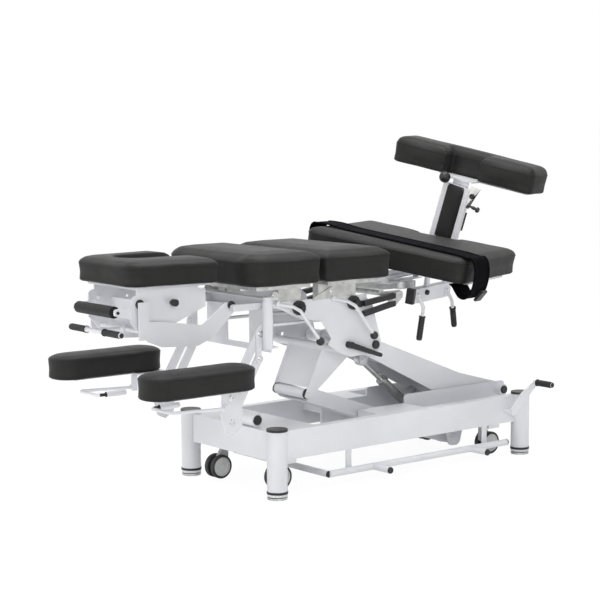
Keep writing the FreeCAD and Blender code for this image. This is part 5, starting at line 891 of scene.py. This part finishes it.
def floor_material():
    """White for the camera, with a faint shadow, and a plain pale floor for all other light."""
    material, tree, main = shader("floor_white", (0.93, 0.93, 0.93), 0.8)
    ramp_colour(tree, main, noise(tree, scale=2, detail=3), (0.92, 0.92, 0.92), (0.94, 0.94, 0.94))
    main.inputs["Specular IOR Level"].default_value = 0.1
    glow = add(tree, "ShaderNodeEmission", Color=(1, 1, 1, 1), Strength=1.06)
    part = add(tree, "ShaderNodeMixShader", Fac=0.88)
    tree.links.new(main.outputs["BSDF"], part.inputs[1])
    tree.links.new(glow.outputs["Emission"], part.inputs[2])
    path = add(tree, "ShaderNodeLightPath")
    choice = add(tree, "ShaderNodeMixShader")
    tree.links.new(path.outputs["Is Camera Ray"], choice.inputs["Fac"])
    tree.links.new(main.outputs["BSDF"], choice.inputs[1])
    tree.links.new(part.outputs["Shader"], choice.inputs[2])
    output = next(node for node in tree.nodes if node.type == "OUTPUT_MATERIAL")
    tree.links.new(choice.outputs["Shader"], output.inputs["Surface"])
    return material


FLOOR_SIZE, FLOOR_DROP = 200, 0.0005


def make_floor():
    mesh = bpy.data.meshes.new("floor")
    bm = bmesh.new()
    bmesh.ops.create_grid(bm, x_segments=2, y_segments=2, size=FLOOR_SIZE)
    bm.to_mesh(mesh)
    bm.free()
    mesh.materials.append(floor_material())
    floor = bpy.data.objects.new("floor", mesh)
    floor.location.z = -FLOOR_DROP
    SCENE.collection.objects.link(floor)


def make_world():
    """A white room for the camera and for metal's reflections, and a softer one as a lamp."""
    world = bpy.data.worlds.new("studio")
    SCENE.world = world
    world.use_nodes = True
    tree = world.node_tree
    background = tree.nodes["Background"]
    # The studio's back wall, beyond the foot end, is lit more than the rest of the room.
    heading = add(tree, "ShaderNodeTexCoord")
    facing = add(tree, "ShaderNodeVectorMath", "DOT_PRODUCT")
    facing.inputs[1].default_value = (0.643, 0.755, 0.12)
    tree.links.new(heading.outputs["Generated"], facing.inputs[0])
    wall = add(tree, "ShaderNodeMapRange", From_Min=0.1, From_Max=0.95, To_Min=0.4, To_Max=1.12)
    wall.interpolation_type = "SMOOTHSTEP"
    tree.links.new(facing.outputs["Value"], wall.inputs["Value"])
    path = add(tree, "ShaderNodeLightPath")
    seen = path.outputs["Is Camera Ray"]
    for ray in ("Is Glossy Ray", "Is Transmission Ray"):
        either = add(tree, "ShaderNodeMath", "MAXIMUM")
        tree.links.new(seen, either.inputs[0])
        tree.links.new(path.outputs[ray], either.inputs[1])
        seen = either.outputs["Value"]
    level = add(tree, "ShaderNodeMapRange", To_Max=1.0)
    tree.links.new(wall.outputs["Result"], level.inputs["To Min"])
    tree.links.new(seen, level.inputs["Value"])
    tree.links.new(level.outputs["Result"], background.inputs["Strength"])
    background.inputs["Color"].default_value = (1, 1, 1, 1)


TARGET = Vector((BASE_X, BASE_Y, 0.55))


def lamp(name, place, size, power):
    """A soft lamp that faces the table."""
    data = bpy.data.lights.new(name, "AREA")
    data.shape = "RECTANGLE"
    data.size, data.size_y = size
    data.energy = power
    thing = bpy.data.objects.new(name, data)
    thing.location = place
    thing.rotation_euler = (TARGET - Vector(place)).to_track_quat("-Z", "Y").to_euler()
    SCENE.collection.objects.link(thing)


# The photo's frame and the camera's centre and focal length in it, in pixels; the camera's shift
# and lens follow from them.
FRAME, CENTRE_X, CENTRE_Y, FOCAL = 600, 360.5, 328.0, 1654
SENSOR = 36
AZIMUTH, ELEVATION, DISTANCE = math.radians(-40.46), math.radians(7.44), 6.6


def make_camera():
    back = Vector((math.sin(AZIMUTH) * math.cos(ELEVATION), -math.cos(AZIMUTH) * math.cos(ELEVATION),
                   math.sin(ELEVATION)))
    data = bpy.data.cameras.new("camera")
    data.lens = FOCAL / FRAME * SENSOR
    data.shift_x = (FRAME / 2 - CENTRE_X) / FRAME
    data.shift_y = (CENTRE_Y - FRAME / 2) / FRAME
    camera = bpy.data.objects.new("camera", data)
    camera.location = TARGET + back * DISTANCE
    camera.rotation_euler = (-back).to_track_quat("-Z", "Y").to_euler()
    SCENE.collection.objects.link(camera)
    SCENE.camera = camera


make_floor()
make_world()
lamp("top_light", (0.0, 0.0, 4.6), (3.2, 2.6), 132)
lamp("front_light", (-2.6, -4.4, 2.4), (2.4, 2.0), 62)
lamp("side_light", (-4.4, 0.6, 1.9), (2.0, 2.0), 44)
make_camera()
SCENE.view_settings.view_transform = "Standard"
